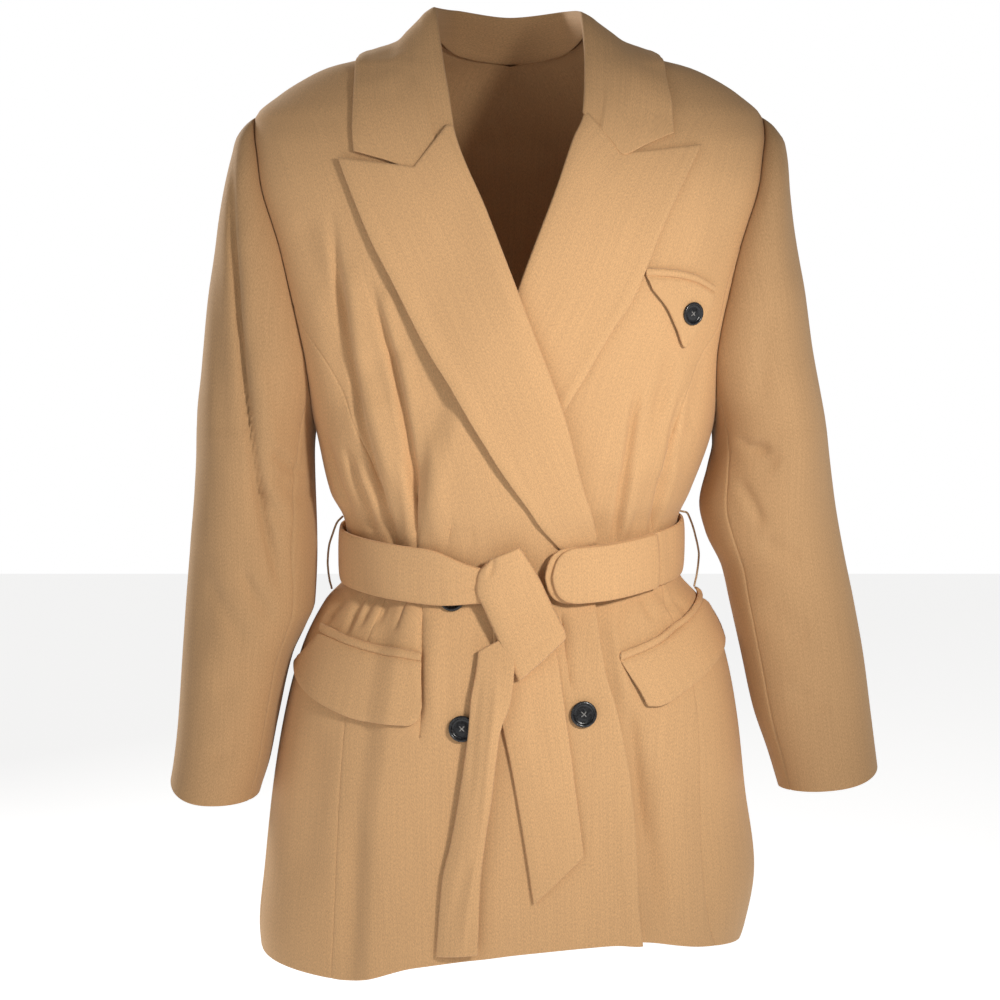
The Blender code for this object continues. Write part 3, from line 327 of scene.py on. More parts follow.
# The knot's band and the tails in front view, each row from the wearer's right to the left.
KNOT = table(
    "right_x right_z left_x left_z out bow",
    (-15, -406, 7, -396.5, 23.2, 0), (-23, -417, 14, -408, 23.6, 0.6),
    (-24.5, -430, 21, -421, 23.8, 1), (-18, -447, 28, -437, 23.4, 1),
    (-8, -470, 36, -453, 22.0, 1), (0, -487, 41, -463, 21.0, 0.8),
    (6.5, -500, 42.5, -468, 20.0, 0.4),
)
KNOT_WALL = 4.6
TAIL_RIGHT = table(
    "right_x right_z left_x left_z out bow",
    (-24, -479, 4, -463, 15.2, 0), (-26, -495, 3, -489, 15.2, 0.4), (-30, -517, 0, -517, 15.4, 1.5),
    (-32, -542, -8, -541, 15.6, 2.5), (-40, -598, -15, -598, 14.8, 3),
    (-46, -632, -20, -631, 13.8, 3), (-53, -663, -23.5, -663, 12.8, 3),
    (-56, -695, -25, -693, 11.8, 2.5), (-58.5, -727, -26, -723, 11.0, 2),
)
TAIL_LEFT = table(
    "right_x right_z left_x left_z out bow",
    (-13, -462, 32, -462, 11.2, 0), (-11, -490, 37, -487, 11.2, 0), (-7, -530, 42.5, -525, 11.2, 0),
    (1, -570, 47, -558, 11.2, 0.4), (8, -610, 51, -590, 11.2, 0.8), (14, -648, 55, -620, 11.2, 0.8),
    (19, -683, 58, -645, 11.2, 0.8),
)
CARRIER = pair(
    "x z",
    (
        (-142.3, -388), (-147, -393), (-151, -403), (-154.5, -415), (-155.5, -428), (-154.5, -440),
        (-152.2, -450.5),
    ),
    (
        (145.2, -383.5), (150, -384.5), (154, -392), (158, -405), (161, -421), (160, -434),
        (157.3, -448.5),
    ),
)
CARRIER_RADIUS = 0.9
KNOT_ROWS, TAIL_RIGHT_ROWS, TAIL_LEFT_ROWS, TAIL_WALL = 64, 110, 90, 2.4

BELT_WALL = 3.0
# Looks: shells, seams and pressed edges, in millimetres.
BODY_SHELL, LAPEL_SHELL, COLLAR_SHELL, FLAP_SHELL = 1.3, 1.3, 1.5, 1.6
EDGE_ROUND = 0.32
SEAM = -0.3
SEAM_DIP, SEAM_WIDE = 0.5, 1.3
NEAR_EDGE = (0, 0.6, 1.3, 2.2, 3.6, 5.8)
LAPEL_NEAR_EDGE = (6.5, 4.2, 2.6, 1.5, 0.8, 0.3, 0)
# Where the collar's lines lie across it, from the neck seam, and where its columns lie.
COLLAR_PLACES = np.array([0, 1, 1.6, 2.2, 3.4, 4.6, 5.8, 7.2, 8.6])
COLLAR_COLUMNS = np.concatenate([np.linspace(0, 8.1, 46), [8.3, 8.42, 8.5, 8.56, 8.6]])
FALL_STARTS = 3.4
FRONT_COLUMNS, SIDE_COLUMNS, BACK_COLUMNS, SLEEVE_COLUMNS = 96, 44, 60, 96
ROW_STEP, NECK_STEP, LAST_STEP = 3.5, 2.5, 1.2
# Rows close together over the shoulder's tip, and where even rows go on below them.
EVEN_ROWS_START = -74
TIP_ROWS = (-53, -53.15, -53.4, -53.8, -54.3, -55.2, -56.6, -58.5, -60.6, -63, -66, -70)
ROLL_SOFT = {RIGHT: 1.6, LEFT: 1.0}
LAPEL_CURL = {RIGHT: 3.0, LEFT: 1.2}
GORGE_SEAM = {RIGHT: 0.3, LEFT: 0.8}
FLAP_SWELL = 1.2
LAP_CURL, LAP_CURL_WIDE, LAP_FREE = 3.2, 10, -436
BELT_CROWN, BELT_WAVE = 0.9, 0.3
BELT_DRAWN, BELT_SAG, TAIL_LEAN = 8.5, 5.0, 6.0
# A button's section, from its back over the rim into the bowl.
HORN_SECTION = table(
    "radius rise",
    (7.0, 0.0), (9.6, 0.3), (10.4, 0.8), (10.7, 1.5), (10.7, 2.5), (10.5, 3.0), (10.0, 3.4),
    (9.4, 3.6), (8.9, 3.5), (8.5, 3.1), (8.2, 2.4), (7.9, 1.9), (7.3, 1.6), (6.2, 1.55),
    (4.6, 1.7), (2.6, 1.8), (1.0, 1.8),
)
THREAD_CROSS = (((-1.9, -1.9), (1.9, 1.9)), ((-1.9, 1.9), (1.9, -1.9)))
THREAD_ARCH, THREAD_THICK = 1.0, 0.45

# The cloth's colour; the sleeves' copy is darkened as painted shade, the belt's copy is a touch lighter.
CAMEL = (0.60, 0.355, 0.172)
SLEEVE_PAINTED_SHADE, BELT_TONE = 0.77, 1.03
# Heather, streaks and clouds: stretch, detail, roughness, then what goes in and the shades out.
MOTTLES = (
    ((1500, 520), 3.0, 0.65, 0.3, 0.7, 0.82, 1.15),
    ((700, 14), 2.0, 0.5, 0.35, 0.65, 0.97, 1.03),
    ((16, 7), 2.0, 0.5, 0.35, 0.65, 0.985, 1.015),
)
THREAD = 0.0006
WEAVE = {"Scale": 0.314 / THREAD, "Distortion": 1.2, "Detail": 1.0, "Detail Scale": 0.4}
WOOL = {
    "Roughness": 0.86, "Specular IOR Level": 0.22, "Sheen Weight": 0.22, "Sheen Roughness": 0.45,
    "Sheen Tint": (1.0, 0.86, 0.68, 1),
}
HORN_COLOURS = ((0.42, (0.004, 0.004, 0.005, 1)), (0.78, (0.022, 0.023, 0.028, 1)))
BUTTON_THREAD, CARRIER_THREAD = (0.26, 0.25, 0.24), (0.52, 0.37, 0.22)

# The photograph's view, and a key light from the wearer's left.
CAMERA, PITCH, LENS, SHIFT_X = (0, -2.0, -0.10), 7.8, 85.5, -0.010
FLOOR, FLOOR_REACH, FLOOR_GLOW = -1.45, 6000, 0.72
AMBIENT, AMBIENT_COLOUR = 0.19, (1.0, 0.985, 0.96, 1)
KEY_PLACE, KEY_AIM, KEY_POWER = (0.62, -1.02, 0.06), (-0.03, -0.10, -0.42), 48
KEY_SIZE, KEY_BEAM, KEY_COLOUR = 0.08, 50, (1.0, 0.97, 0.92)
LIGHT_COLOUR = (1.0, 0.98, 0.96)
LIGHTS = (
    ("fill", (-1.7, -1.9, 0.2), (0, 0, -0.4), 1.6, 9),
    ("back", (-1.5, 1.9, 0.7), (0, 0, -0.4), 1.0, 46),
)

# Finer creases of the cloth, and the folds that the back has.
BODY_CREASES = folds(
    (-143, -126, -136, -290, -80, -448, 4.0, 7.8),
    (-128, -168, -124, -215, -118, -264, 8.0, -3.5),
    (-116, -262, -106, -310, -92, -356, 8.0, -3.8),
    (-101, -190, -96, -214, -91, -242, 7.0, -2.4),
    (-87, -236, -82, -262, -76, -288, 6.0, -2.2),
    (-112, -186, -74, -300, -71, -450, 3.6, 7.6),
    (-63, -300, -58, -345, -58, -402, 8.0, -3.0),
    (-88, -320, -84, -360, -81, -402, 5.5, -2.4),
    (-136, -320, -124, -358, -114, -394, 3.2, 6.1),
    (-128, -328, -117, -362, -105, -396, 4.6, -2.2),
    (-156, -302, -147, -342, -131, -386, 3.4, 5.8),
    (-100, -372, -96, -392, -94, -408, 2.6, 1.8),
    (-46, -372, -48, -390, -52, -408, 3.6, 1.6),
    (-30, -380, -30, -396, -34, -408, 4.0, 1.2),
    (104, -262, 94, -340, 78, -450, 3.4, 6.4),
    (104, -330, 98, -362, 92, -402, 7.0, -3.0),
    (140, -270, 130, -340, 106, -446, 3.6, 5.4),
    (139, -328, 131, -360, 122, -392, 5.5, -2.4),
    (131, -238, 124, -266, 119, -300, 5.0, 3.0),
    (141, -243, 134, -270, 128, -302, 8.0, -2.2),
    (104, -370, 100, -388, 96, -402, 3.0, 1.8),
    (160, -230, 150, -290, 138, -350, 7.0, 2.2),
    (-170, -130, -160, -160, -150, -200, 12.0, 2.4),
    (176, -100, 170, -150, 172, -190, 12.0, 1.9),
    (-136, -446, -148, -458, -158, -474, 3.4, 4.8),
    (-117, -438, -130, -456, -138, -478, 3.2, 5.1),
    (-107, -438, -118, -452, -125, -470, 2.8, 4.5),
    (-97, -440, -104, -454, -110, -466, 2.6, 3.8),
    (-79, -442, -86, -454, -91, -468, 2.6, 3.5),
    (-70, -444, -69, -490, -72, -556, 2.8, 6.1),
    (-60, -450, -58, -490, -60, -548, 6.0, -2.2),
    (93, -444, 91, -456, 88, -472, 2.6, 2.0),
    (106, -440, 113, -452, 118, -462, 2.8, 3.8),
    (120, -438, 129, -450, 138, -458, 3.0, 4.2),
    (134, -446, 142, -456, 150, -462, 3.0, 3.5),
    (40, -448, 44, -480, 50, -520, 5.0, 3.2),
    (82, -452, 88, -490, 96, -530, 5.0, -2.8),
    (98, -528, 104, -580, 112, -650, 5.0, 4.6),
    (108, -562, 115, -640, 122, -735, 9.0, 3.5),
    (88, -600, 96, -670, 104, -740, 12.0, -1.9),
    (-128, -610, -124, -690, -130, -760, 12.0, 2.2),
    (-20, -560, -14, -640, -22, -750, 16.0, -1.9),
    (150, -560, 162, -640, 170, -740, 12.0, 2.7),
)
BACK_FOLDS = folds(
    (-70, -330, -64, -370, -58, -404, 9, 4.6),
    (-104, -350, -96, -382, -88, -404, 7, 3.4),
    (-30, -352, -28, -380, -26, -404, 7, 2.7),
    (40, -336, 38, -372, 34, -404, 8, 3.8),
    (84, -344, 80, -376, 72, -404, 8, 4.6),
    (118, -356, 112, -384, 104, -404, 6, 3.0),
    (-60, -440, -66, -480, -78, -540, 9, 4.9),
    (-110, -442, -120, -470, -130, -505, 7, 3.8),
    (30, -440, 34, -490, 40, -560, 10, 4.6),
    (92, -440, 100, -474, 114, -520, 8, 4.2),
    (-70, -560, -82, -640, -88, -740, 16, 5.7),
    (64, -580, 72, -650, 80, -745, 16, 4.9),
    (-120, -120, -100, -190, -92, -270, 16, 3.8),
    (128, -110, 110, -180, 96, -260, 16, 3.8),
    (-40, -70, 0, -84, 40, -72, 12, 2.7),
)
SLEEVE_CREASES = folds(
    (-227, -82, -226, -280, -187, -446, 3.2, 7.6),
    (-213, -120, -213, -180, -209, -240, 8.0, -2.4),
    (-209, -236, -199, -290, -189, -344, 7.0, -3.0),
    (-242, -140, -242, -230, -232, -330, 8.0, 2.7),
    (-196, -322, -184, -338, -170, -348, 4.0, 4.9),
    (-206, -352, -196, -372, -184, -390, 4.6, 4.0),
    (-222, -420, -212, -448, -194, -464, 5.0, 3.5),
    (-250, -430, -238, -460, -214, -486, 7.0, 2.4),
    (-256, -400, -252, -450, -258, -500, 12.0, 2.2),
    (-214, -560, -232, -575, -250, -580, 8.0, 2.4),
    (-262, -250, -258, -300, -262, -360, 12.0, 1.6),
    (186, -316, 200, -324, 214, -322, 3.4, 4.3),
    (186, -348, 200, -366, 208, -388, 4.6, 4.0),
    (206, -396, 222, -410, 242, -412, 7.0, 3.0),
    (262, -300, 268, -380, 272, -450, 14.0, 2.4),
    (232, -520, 248, -534, 266, -538, 7.0, 2.4),
    (236, -90, 236, -140, 230, -200, 12.0, 2.4),
    (212, -200, 206, -250, 202, -290, 8.0, 2.2),
)
SLEEVE_BACK_FOLDS = folds(
    (-236, -140, -238, -220, -232, -300, 14, 3.5),
    (-214, -340, -234, -352, -252, -350, 9, 3.8),
    (-210, -385, -232, -398, -256, -396, 10, 3.2),
    (-230, -470, -246, -500, -262, -520, 12, 2.6),
    (236, -150, 240, -230, 236, -310, 14, 3.5),
    (214, -344, 236, -356, 256, -352, 9, 3.8),
    (216, -392, 240, -404, 266, -400, 10, 3.2),
    (250, -480, 268, -506, 286, -522, 12, 2.6),
)
BELT_CREASES = folds(
    (112, -380, 115, -405, 118, -438, 2.0, 3.0),
    (122, -384, 124, -408, 126, -434, 5.0, 0.9),
    (-112, -400, -84, -408, -46, -412, 2.4, 0.7),
    (-66, -436, -40, -432, -18, -426, 2.6, 1.0),
    (-52, -420, -36, -420, -18, -421, 2.0, 0.9),
    (40, -404, 62, -402, 92, -398, 2.4, 0.45),
    (44, -424, 70, -420, 100, -416, 2.8, 0.45),
)
KNOT_CREASES = folds(
    (-13, -402, -12, -410, -16, -420, 2.0, 1.6),
    (4, -446, 12, -452, 22, -452, 3.0, 0.7),
    (10, -478, 20, -474, 30, -466, 3.0, 0.5),
    (-8, -430, 0, -442, 8, -462, 5.0, 0.6),
)
TAIL_CREASES = folds(
    (-24, -490, -27, -545, -32, -600, 4.0, 1.2),
    (-9, -490, -15, -560, -24, -640, 3.4, -1.8),
    (-24, -636, -34, -686, -38, -724, 3.4, -1.4),
    (-3, -556, 4, -552, 12, -553, 2.0, 1.3),
    (14, -500, 22, -540, 30, -590, 6.0, 0.8),
    (-30, -640, -40, -670, -46, -706, 4.0, 0.9),
    (20, -600, 32, -596, 46, -590, 3.0, 0.7),
)


def curve(at, places, values):
    """A smooth curve through the values, with no overshoot, and level past both ends."""
    if places[0] > places[-1]:
        places, values = places[::-1], values[::-1]
    run = np.diff(places)
    slope = np.diff(values) / run
    before, after = slope[:-1], slope[1:]
    same_way = before * after > 0
    both = np.where(same_way, before + after, 1)
    inner = np.where(same_way, 2 * before * after / both, 0)
    tangent = np.concatenate([slope[:1], inner, slope[-1:]])
    at = np.clip(at, places[0], places[-1])
    k = np.clip(np.searchsorted(places, at, "right") - 1, 0, len(run) - 1)
    t = (at - places[k]) / run[k]
    rise = values[k + 1] - values[k]
    early, late = tangent[k] * run[k] - rise, rise - tangent[k + 1] * run[k]
    return values[k] + rise * t + t * (1 - t) * ((1 - t) * early + t * late)


def along(columns, name, at, key="height"):
    return curve(at, columns[key], columns[name])


def smoothstep(value):
    value = np.clip(value, 0, 1)
    return value * value * (3 - 2 * value)


def unit(vectors):
    return vectors / np.maximum(np.linalg.norm(vectors, axis=-1, keepdims=True), 1e-9)


def slice_at(angle, height):
    """Half width, depth and squareness of the body's slice on the angle's own side."""
    width = np.where(angle < 0, along(TORSO, "right", height), along(TORSO, "left", height))
    front, back = along(TORSO, "front", height), along(TORSO, "back", height)
    return width, np.where(np.abs(angle) < 90, front, back), along(TORSO, "square", height)


def torso(angle, height):
    """The body's surface before its folds, and its outward direction in plan."""
    width, depth, square = slice_at(angle, height)
    x, y = np.sin(np.radians(angle)), -np.cos(np.radians(angle))
    radius = ((np.abs(x) / width) ** square + (np.abs(y) / depth) ** square) ** (-1 / square)
    x, y = x * radius, y * radius
    out_x = np.sign(x) * (np.abs(x) / width) ** (square - 1) / width
    out_y = np.sign(y) * (np.abs(y) / depth) ** (square - 1) / depth
    point = np.stack([x, y, height + 0 * x], axis=-1)
    return point, unit(np.stack([out_x, out_y, 0 * x], axis=-1))


def angle_at_x(x, height, back=False):
    """The angle at which the body's slice has this x, on its front or its back."""
    width = np.where(x < 0, along(TORSO, "right", height), along(TORSO, "left", height))
    depth = along(TORSO, "back" if back else "front", height)
    square = along(TORSO, "square", height)
    share = np.clip(np.abs(x) / width, 0, 1)
    forward = depth * (1 - share**square) ** (1 / square)
    angle = np.degrees(np.arctan2(x, forward))
    return np.where(x < 0, -180 - angle, 180 - angle) if back else angle


def angle_at_y(y, height, side, back=False):
    """The angle at which the body's slice lies this far before or behind the shoulder line."""
    width = along(TORSO, "right" if side == RIGHT else "left", height)
    depth = along(TORSO, "back" if back else "front", height)
    square = along(TORSO, "square", height)
    across = width * (1 - np.clip(y / depth, 0, 1) ** square) ** (1 / square)
    angle = np.degrees(np.arctan2(across, y))
    return side * (180 - angle if back else angle)


def fold_depth(rows, x, z):
    """How far the folds sink the cloth at points of the front view."""
    x, z = np.broadcast_arrays(np.asarray(x, float), np.asarray(z, float))
    depth = np.zeros(x.shape)
    steps = np.linspace(0, 1, 9)
    for x0, z0, x1, z1, x2, z2, width, deep in zip(*rows.values()):
        path_x = (1 - steps) ** 2 * x0 + 2 * steps * (1 - steps) * x1 + steps**2 * x2
        path_z = (1 - steps) ** 2 * z0 + 2 * steps * (1 - steps) * z1 + steps**2 * z2
        reach = 2.8 * width
        near = (x > path_x.min() - reach) & (x < path_x.max() + reach)
        near &= (z > path_z.min() - reach) & (z < path_z.max() + reach)
        near_x, near_z = x[near], z[near]
        nearest = np.full(near_x.shape, np.inf)
        place = np.zeros(near_x.shape)
        for k in range(len(steps) - 1):
            run_x, run_z = path_x[k + 1] - path_x[k], path_z[k + 1] - path_z[k]
            t = ((near_x - path_x[k]) * run_x + (near_z - path_z[k]) * run_z) / (run_x**2 + run_z**2)
            t = np.clip(t, 0, 1)
            away = np.hypot(near_x - path_x[k] - t * run_x, near_z - path_z[k] - t * run_z)
            place = np.where(away < nearest, (k + t) / (len(steps) - 1), place)
            nearest = np.minimum(nearest, away)
        ends = smoothstep(np.minimum(place, 1 - place) / 0.3 + 0.15)
        depth[near] += deep * ends * np.exp(-((nearest / width) ** 2))
    return depth


def sunk_by(front_folds, back_folds, x, height, out):
    """How far folds sink the cloth, the front ones where it faces ahead, the back ones behind."""
    ahead, behind = np.clip(-out[..., 1], 0, 1) ** 0.5, np.clip(out[..., 1], 0, 1) ** 0.5
    front = sum(fold_depth(folded, x, height) for folded in front_folds)
    return front * ahead + sum(fold_depth(folded, x, height) for folded in back_folds) * behind


def under_belt(height):
    """1 on free cloth, falling to a fifth where the belt presses it flat."""
    return 1 - 0.8 * np.exp(-(((height - WAIST) / BELT_HOLDS) ** 4))


def surface(angle, height, creased=True):
    """The body's surface with its folds and, unless a layer lies over them, its creases."""
    point, out = torso(angle, height)
    front, back = (BODY_FOLDS, BODY_CREASES), (BACK_FOLDS,)
    if not creased:
        front, back = (BODY_FOLDS,), ()
    sunk = sunk_by(front, back, point[..., 0], height, out)
    return point - out * (sunk * under_belt(height))[..., None]


def skin_and_out(angle, height, creased=True):
    """Points on the body's surface, and its outward directions there."""
    angle, height = np.broadcast_arrays(np.asarray(angle, float), np.asarray(height, float))
    turn = surface(angle + 0.5, height, creased) - surface(angle - 0.5, height, creased)
    climb = surface(angle, height + 1, creased) - surface(angle, height - 1, creased)
    return surface(angle, height, creased), unit(np.cross(turn, climb))


def skin(angle, height, out, creased=True):
    """Points at this distance outside the body's surface."""
    point, outward = skin_and_out(angle, height, creased)
    return point + outward * np.asarray(out, float)[..., None]


def hem_height(angle, height):
    """Bends the last rows so that the lowest one follows the hem."""
    share = np.clip((HEM_STARTS - height) / (HEM_STARTS - HEM_ROW), 0, 1)
    hem = along(HEM, "height", angle, key="angle")
    return height + share * (hem - HEM_ROW)


def lap_lift(x, height, full=LAP_FULL, none=LAP_NONE):
    """How high the wearer's right front rides over the left one."""
    edge = along(FRONT_EDGE[LEFT], "x", height)
    return LAP_LIFT * smoothstep((x - edge + none) / (none - full))


def grid_out(points):
    """Outward directions of a grid of points, worked out from its neighbours."""
    down = np.gradient(points, axis=0)
    across = np.gradient(points, axis=1)
    return unit(np.cross(across, -down))


def clear_of_torso(points, clear):
    """Points moved out where they lie nearer to the body's surface than this."""
    for _ in range(4):
        angle = np.degrees(np.arctan2(points[..., 0], -points[..., 1]))
        radius = np.hypot(points[..., 0], points[..., 1])

        def outside(radius_now, angle_now, height_now):
            on = torso(angle_now, height_now)[0]
            return radius_now - np.hypot(on[..., 0], on[..., 1])

        height = points[..., 2]
        here = outside(radius, angle, height)
        by_angle = outside(radius, angle + 0.5, height) - outside(radius, angle - 0.5, height)
        by_height = (outside(radius, angle, height + 1) - outside(radius, angle, height - 1)) / 2
        radial = unit(np.stack([points[..., 0], points[..., 1], 0 * radius], axis=-1))
        round_ = np.stack([-radial[..., 1], radial[..., 0], 0 * radius], axis=-1)
        up = np.array([0.0, 0.0, 1.0])
        slope = radial + round_ * (by_angle / np.radians(1) / radius)[..., None]
        slope = slope + up * by_height[..., None]
        steep = np.linalg.norm(slope, axis=-1)
        short = np.clip(clear - here / steep, 0, 8)
        points = points + unit(slope) * short[..., None]
    return points


def collar_line(lines, station):
    return np.stack([along(lines, axis, station, key="station") for axis in "xyz"], axis=-1)


def set_values(node, values):
    for place, value in values.items():
        node.inputs[place].default_value = value


def add_node(tree, kind, values=(), links=(), **settings):
    """A shader node with its settings, its constant inputs and the outputs that feed it."""
    made = tree.nodes.new("ShaderNode" + kind)
    for name, value in settings.items():
        setattr(made, name, value)
    set_values(made, dict(values))
    for place, source in dict(links).items():
        tree.links.new(source, made.inputs[place])
    return made


def new_finish(name):
    """A material, its node tree and its shader."""
    finish = bpy.data.materials.new(name)
    finish.use_nodes = True
    return finish, finish.node_tree, finish.node_tree.nodes["Principled BSDF"]


def link_up(tree, shader, **sources):
    for name, source in sources.items():
        tree.links.new(source, shader.inputs[name.replace("_", " ")])


def place_object(name, data):
    obj = bpy.data.objects.new(name, data)
    bpy.context.collection.objects.link(obj)
    return obj


def cloth_finish(name, tone=1.0):
    """A fine heathered suiting: weave, lengthwise streaks and a soft matt sheen."""
    finish, tree, shader = new_finish(name)
    place = add_node(tree, "UVMap", uv_map="UVMap").outputs["UV"]

    def times(first, second):
        return add_node(tree, "Math", (), {0: first, 1: second}, operation="MULTIPLY").outputs[0]

    def mottle(stretch, detail, rough, low, high, dark, light):
        scaled = add_node(
            tree, "VectorMath", {1: (*stretch, 1)}, {0: place}, operation="MULTIPLY"
        )
        noise = add_node(
            tree, "TexNoise", {"Scale": 1.0, "Detail": detail, "Roughness": rough},
            {"Vector": scaled.outputs[0]}, noise_dimensions="2D",
        )
        limits = {"From Min": low, "From Max": high, "To Min": dark, "To Max": light}
        return add_node(tree, "MapRange", limits, {"Value": noise.outputs["Fac"]}).outputs["Result"]

    heather, streak, cloud = (mottle(*values) for values in MOTTLES)
    shade = times(times(heather, streak), cloud)
    # tone scales the cloth's colour; on the sleeves this darkening is painted shade.
    colour = add_node(
        tree, "VectorMath", {0: [value * tone for value in CAMEL]}, {"Scale": shade},
        operation="SCALE",
    )
    threads = [
        add_node(
            tree, "TexWave", WEAVE, {"Vector": place}, wave_type="BANDS", bands_direction=direction
        ).outputs["Fac"]
        for direction in ("X", "Y", "DIAGONAL")
    ]
    weave = times(times(threads[0], threads[1]), threads[2])
    slub = add_node(tree, "Math", (), {0: weave, 1: heather}, operation="ADD")
    bump = add_node(
        tree, "Bump", {"Strength": 0.35, "Distance": 0.00025}, {"Height": slub.outputs[0]}
    )
    link_up(tree, shader, Base_Color=colour.outputs[0], Normal=bump.outputs["Normal"])
    set_values(shader, WOOL)
    return finish


def horn_finish():
    """Near-black horn: faint grey marbling under a satin polish."""
    finish, tree, shader = new_finish("horn")
    place = add_node(tree, "TexCoord").outputs["Object"]
    grain = add_node(
        tree, "TexNoise", {"Scale": 260.0, "Detail": 4.0, "Roughness": 0.6, "Distortion": 1.5},
        {"Vector": place},
    ).outputs["Fac"]
    colours = add_node(tree, "ValToRGB", (), {"Fac": grain})
    for element, (position, colour) in zip(colours.color_ramp.elements, HORN_COLOURS):
        element.position, element.color = position, colour
    limits = {"From Min": 0.3, "From Max": 0.7, "To Min": 0.2, "To Max": 0.36}
    polish = add_node(tree, "MapRange", limits, {"Value": grain})
    link_up(tree, shader, Base_Color=colours.outputs["Color"], Roughness=polish.outputs["Result"])
    set_values(shader, {"Coat Weight": 0.25, "Coat Roughness": 0.2})
    return finish


def thread_finish(name, colour):
    """Twisted sewing thread."""
    finish, tree, shader = new_finish(name)
    place = add_node(tree, "TexCoord").outputs["Object"]
    twist = add_node(
        tree, "TexWave", {"Scale": 320.0, "Distortion": 0.6}, {"Vector": place},
        bands_direction="DIAGONAL",
    ).outputs["Fac"]
    shade = add_node(tree, "MapRange", {"To Min": 0.72, "To Max": 1.1}, {"Value": twist})
    tint = add_node(
        tree, "VectorMath", {0: colour}, {"Scale": shade.outputs["Result"]}, operation="SCALE"
    )
    bump = add_node(tree, "Bump", {"Strength": 0.6, "Distance": 0.0002}, {"Height": twist})
    link_up(tree, shader, Base_Color=tint.outputs[0], Normal=bump.outputs["Normal"])
    set_values(shader, {"Roughness": 0.8})
    return finish


def lengths(points, axis):
    """Distances along one direction of a grid, from its first line."""
    step = np.linalg.norm(np.diff(points, axis=axis), axis=-1)
    start = np.zeros_like(np.take(step, [0], axis=axis))
    return np.concatenate([start, np.cumsum(step, axis=axis)], axis=axis)


def border(index):
    """Round the edge of an index grid, each with its neighbour inside."""
    inner = np.pad(index[1:-1, 1:-1], 1, mode="edge")
    loops = []
    for grid in (index, inner):
        loops.append(np.concatenate([grid[0], grid[1:, -1], grid[-1, -2::-1], grid[-2:0:-1, 0]]))
    return loops


def shell(name, face, lining, finish, grain=(0.0, 0.0)):
    """A closed cloth shell between two grids of points in millimetres, its edges rounded."""
    rows, columns = face.shape[:2]
    count = rows * columns
    index = np.arange(count).reshape(rows, columns)
    rim, inside = border(index)
    flat_face, flat_lining = face.reshape(-1, 3), lining.reshape(-1, 3)
    edge_out = unit(flat_face[rim] - flat_face[inside])
    thick = np.linalg.norm(flat_face[rim] - flat_lining[rim], axis=-1, keepdims=True)
    middle = (flat_face[rim] + flat_lining[rim]) / 2 + edge_out * thick * EDGE_ROUND
    points = np.concatenate([flat_face, flat_lining, middle]) * MM
    a, b, c, d = index[:-1, :-1], index[:-1, 1:], index[1:, 1:], index[1:, :-1]
    front = np.stack([a, b, c, d], axis=-1).reshape(-1, 4)
    back = np.stack([a, d, c, b], axis=-1).reshape(-1, 4) + count
    mid = np.arange(len(rim)) + 2 * count
    after_rim, after_mid = np.roll(rim, -1), np.roll(mid, -1)
    upper = np.stack([after_rim, rim, mid, after_mid], axis=-1)
    lower = np.stack([after_mid, mid, rim + count, after_rim + count], axis=-1)
    quads = np.concatenate([front, back, upper, lower])
    corner = points[quads]
    volume = np.einsum("ij,ij->i", corner[:, 0], np.cross(corner[:, 1], corner[:, 2])).sum()
    volume += np.einsum("ij,ij->i", corner[:, 0], np.cross(corner[:, 2], corner[:, 3])).sum()
    if volume < 0:
        quads = quads[:, ::-1]
    across, down = lengths(face, 1), lengths(face, 0)
    across = across - across[:, columns // 2, None]
    uv = np.stack([across * MM + grain[0], grain[1] - down * MM], axis=-1).reshape(-1, 2)
    uv = np.concatenate([uv, uv, uv[rim]])
    mesh = bpy.data.meshes.new(name)
    mesh.vertices.add(len(points))
    mesh.vertices.foreach_set("co", points.ravel())
    mesh.loops.add(quads.size)
    mesh.loops.foreach_set("vertex_index", quads.ravel().astype(np.int32))
    mesh.polygons.add(len(quads))
    mesh.polygons.foreach_set("loop_start", np.arange(0, quads.size, 4, dtype=np.int32))
    mesh.update(calc_edges=True)
    mesh.validate()
    layer = mesh.uv_layers.new(name="UVMap")
    layer.data.foreach_set("uv", uv[quads.ravel()].ravel().astype(np.float32))
    mesh.shade_smooth()
    mesh.materials.append(finish)
    return place_object(name, mesh)


def dress(name, face, lining, finish, held, rests_on=(), grain=(0.0, 0.0)):
    obj = shell(f"{name}_cloth", face, lining, finish, grain)
    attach(obj, "root")
    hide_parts(name)
    return obj


def spread(width, count, near=NEAR_EDGE):
    """Shares across for rows of these widths: close together at both edges, even between."""
    near = np.array(near)
    squeeze = np.minimum(1, 0.22 * width / near[-1])[:, None]
    first = near[None] * squeeze / np.maximum(width, 1)[:, None]
    middle = np.linspace(0, 1, count)[1:-1][None]
    middle = first[:, -1:] + middle * (1 - 2 * first[:, -1:])
    return np.concatenate([first, middle, 1 - first[:, ::-1]], axis=1)


def from_edges(points):
    """Each point's distance from a grid's left, right, top and bottom edge."""
    across, down = lengths(points, 1), lengths(points, 0)
    right, bottom = across[:, -1:] - across, down[-1:] - down
    return {"left": across, "right": right, "top": down, "bottom": bottom}


def seam_dip(points, seams):
    """How far the cloth dips beside its sewn edges."""
    away = from_edges(points)
    dip = np.zeros(points.shape[:2])
    for edge in seams:
        dip = np.maximum(dip, SEAM_DIP * np.exp(-((away[edge] / SEAM_WIDE) ** 1.5)))
    return dip


def press(points, edges, high=0.45, place=6.0, wide=3.5):
    """The low ridge that turnings make inside a pressed edge."""
    away = from_edges(points)
    rise = np.zeros(points.shape[:2])
    for edge in edges:
        rise = np.maximum(rise, high * np.exp(-(((away[edge] - place) / wide) ** 2)))
        rise = rise - high * 0.7 * np.exp(-((away[edge] / 1.2) ** 2))
    return rise


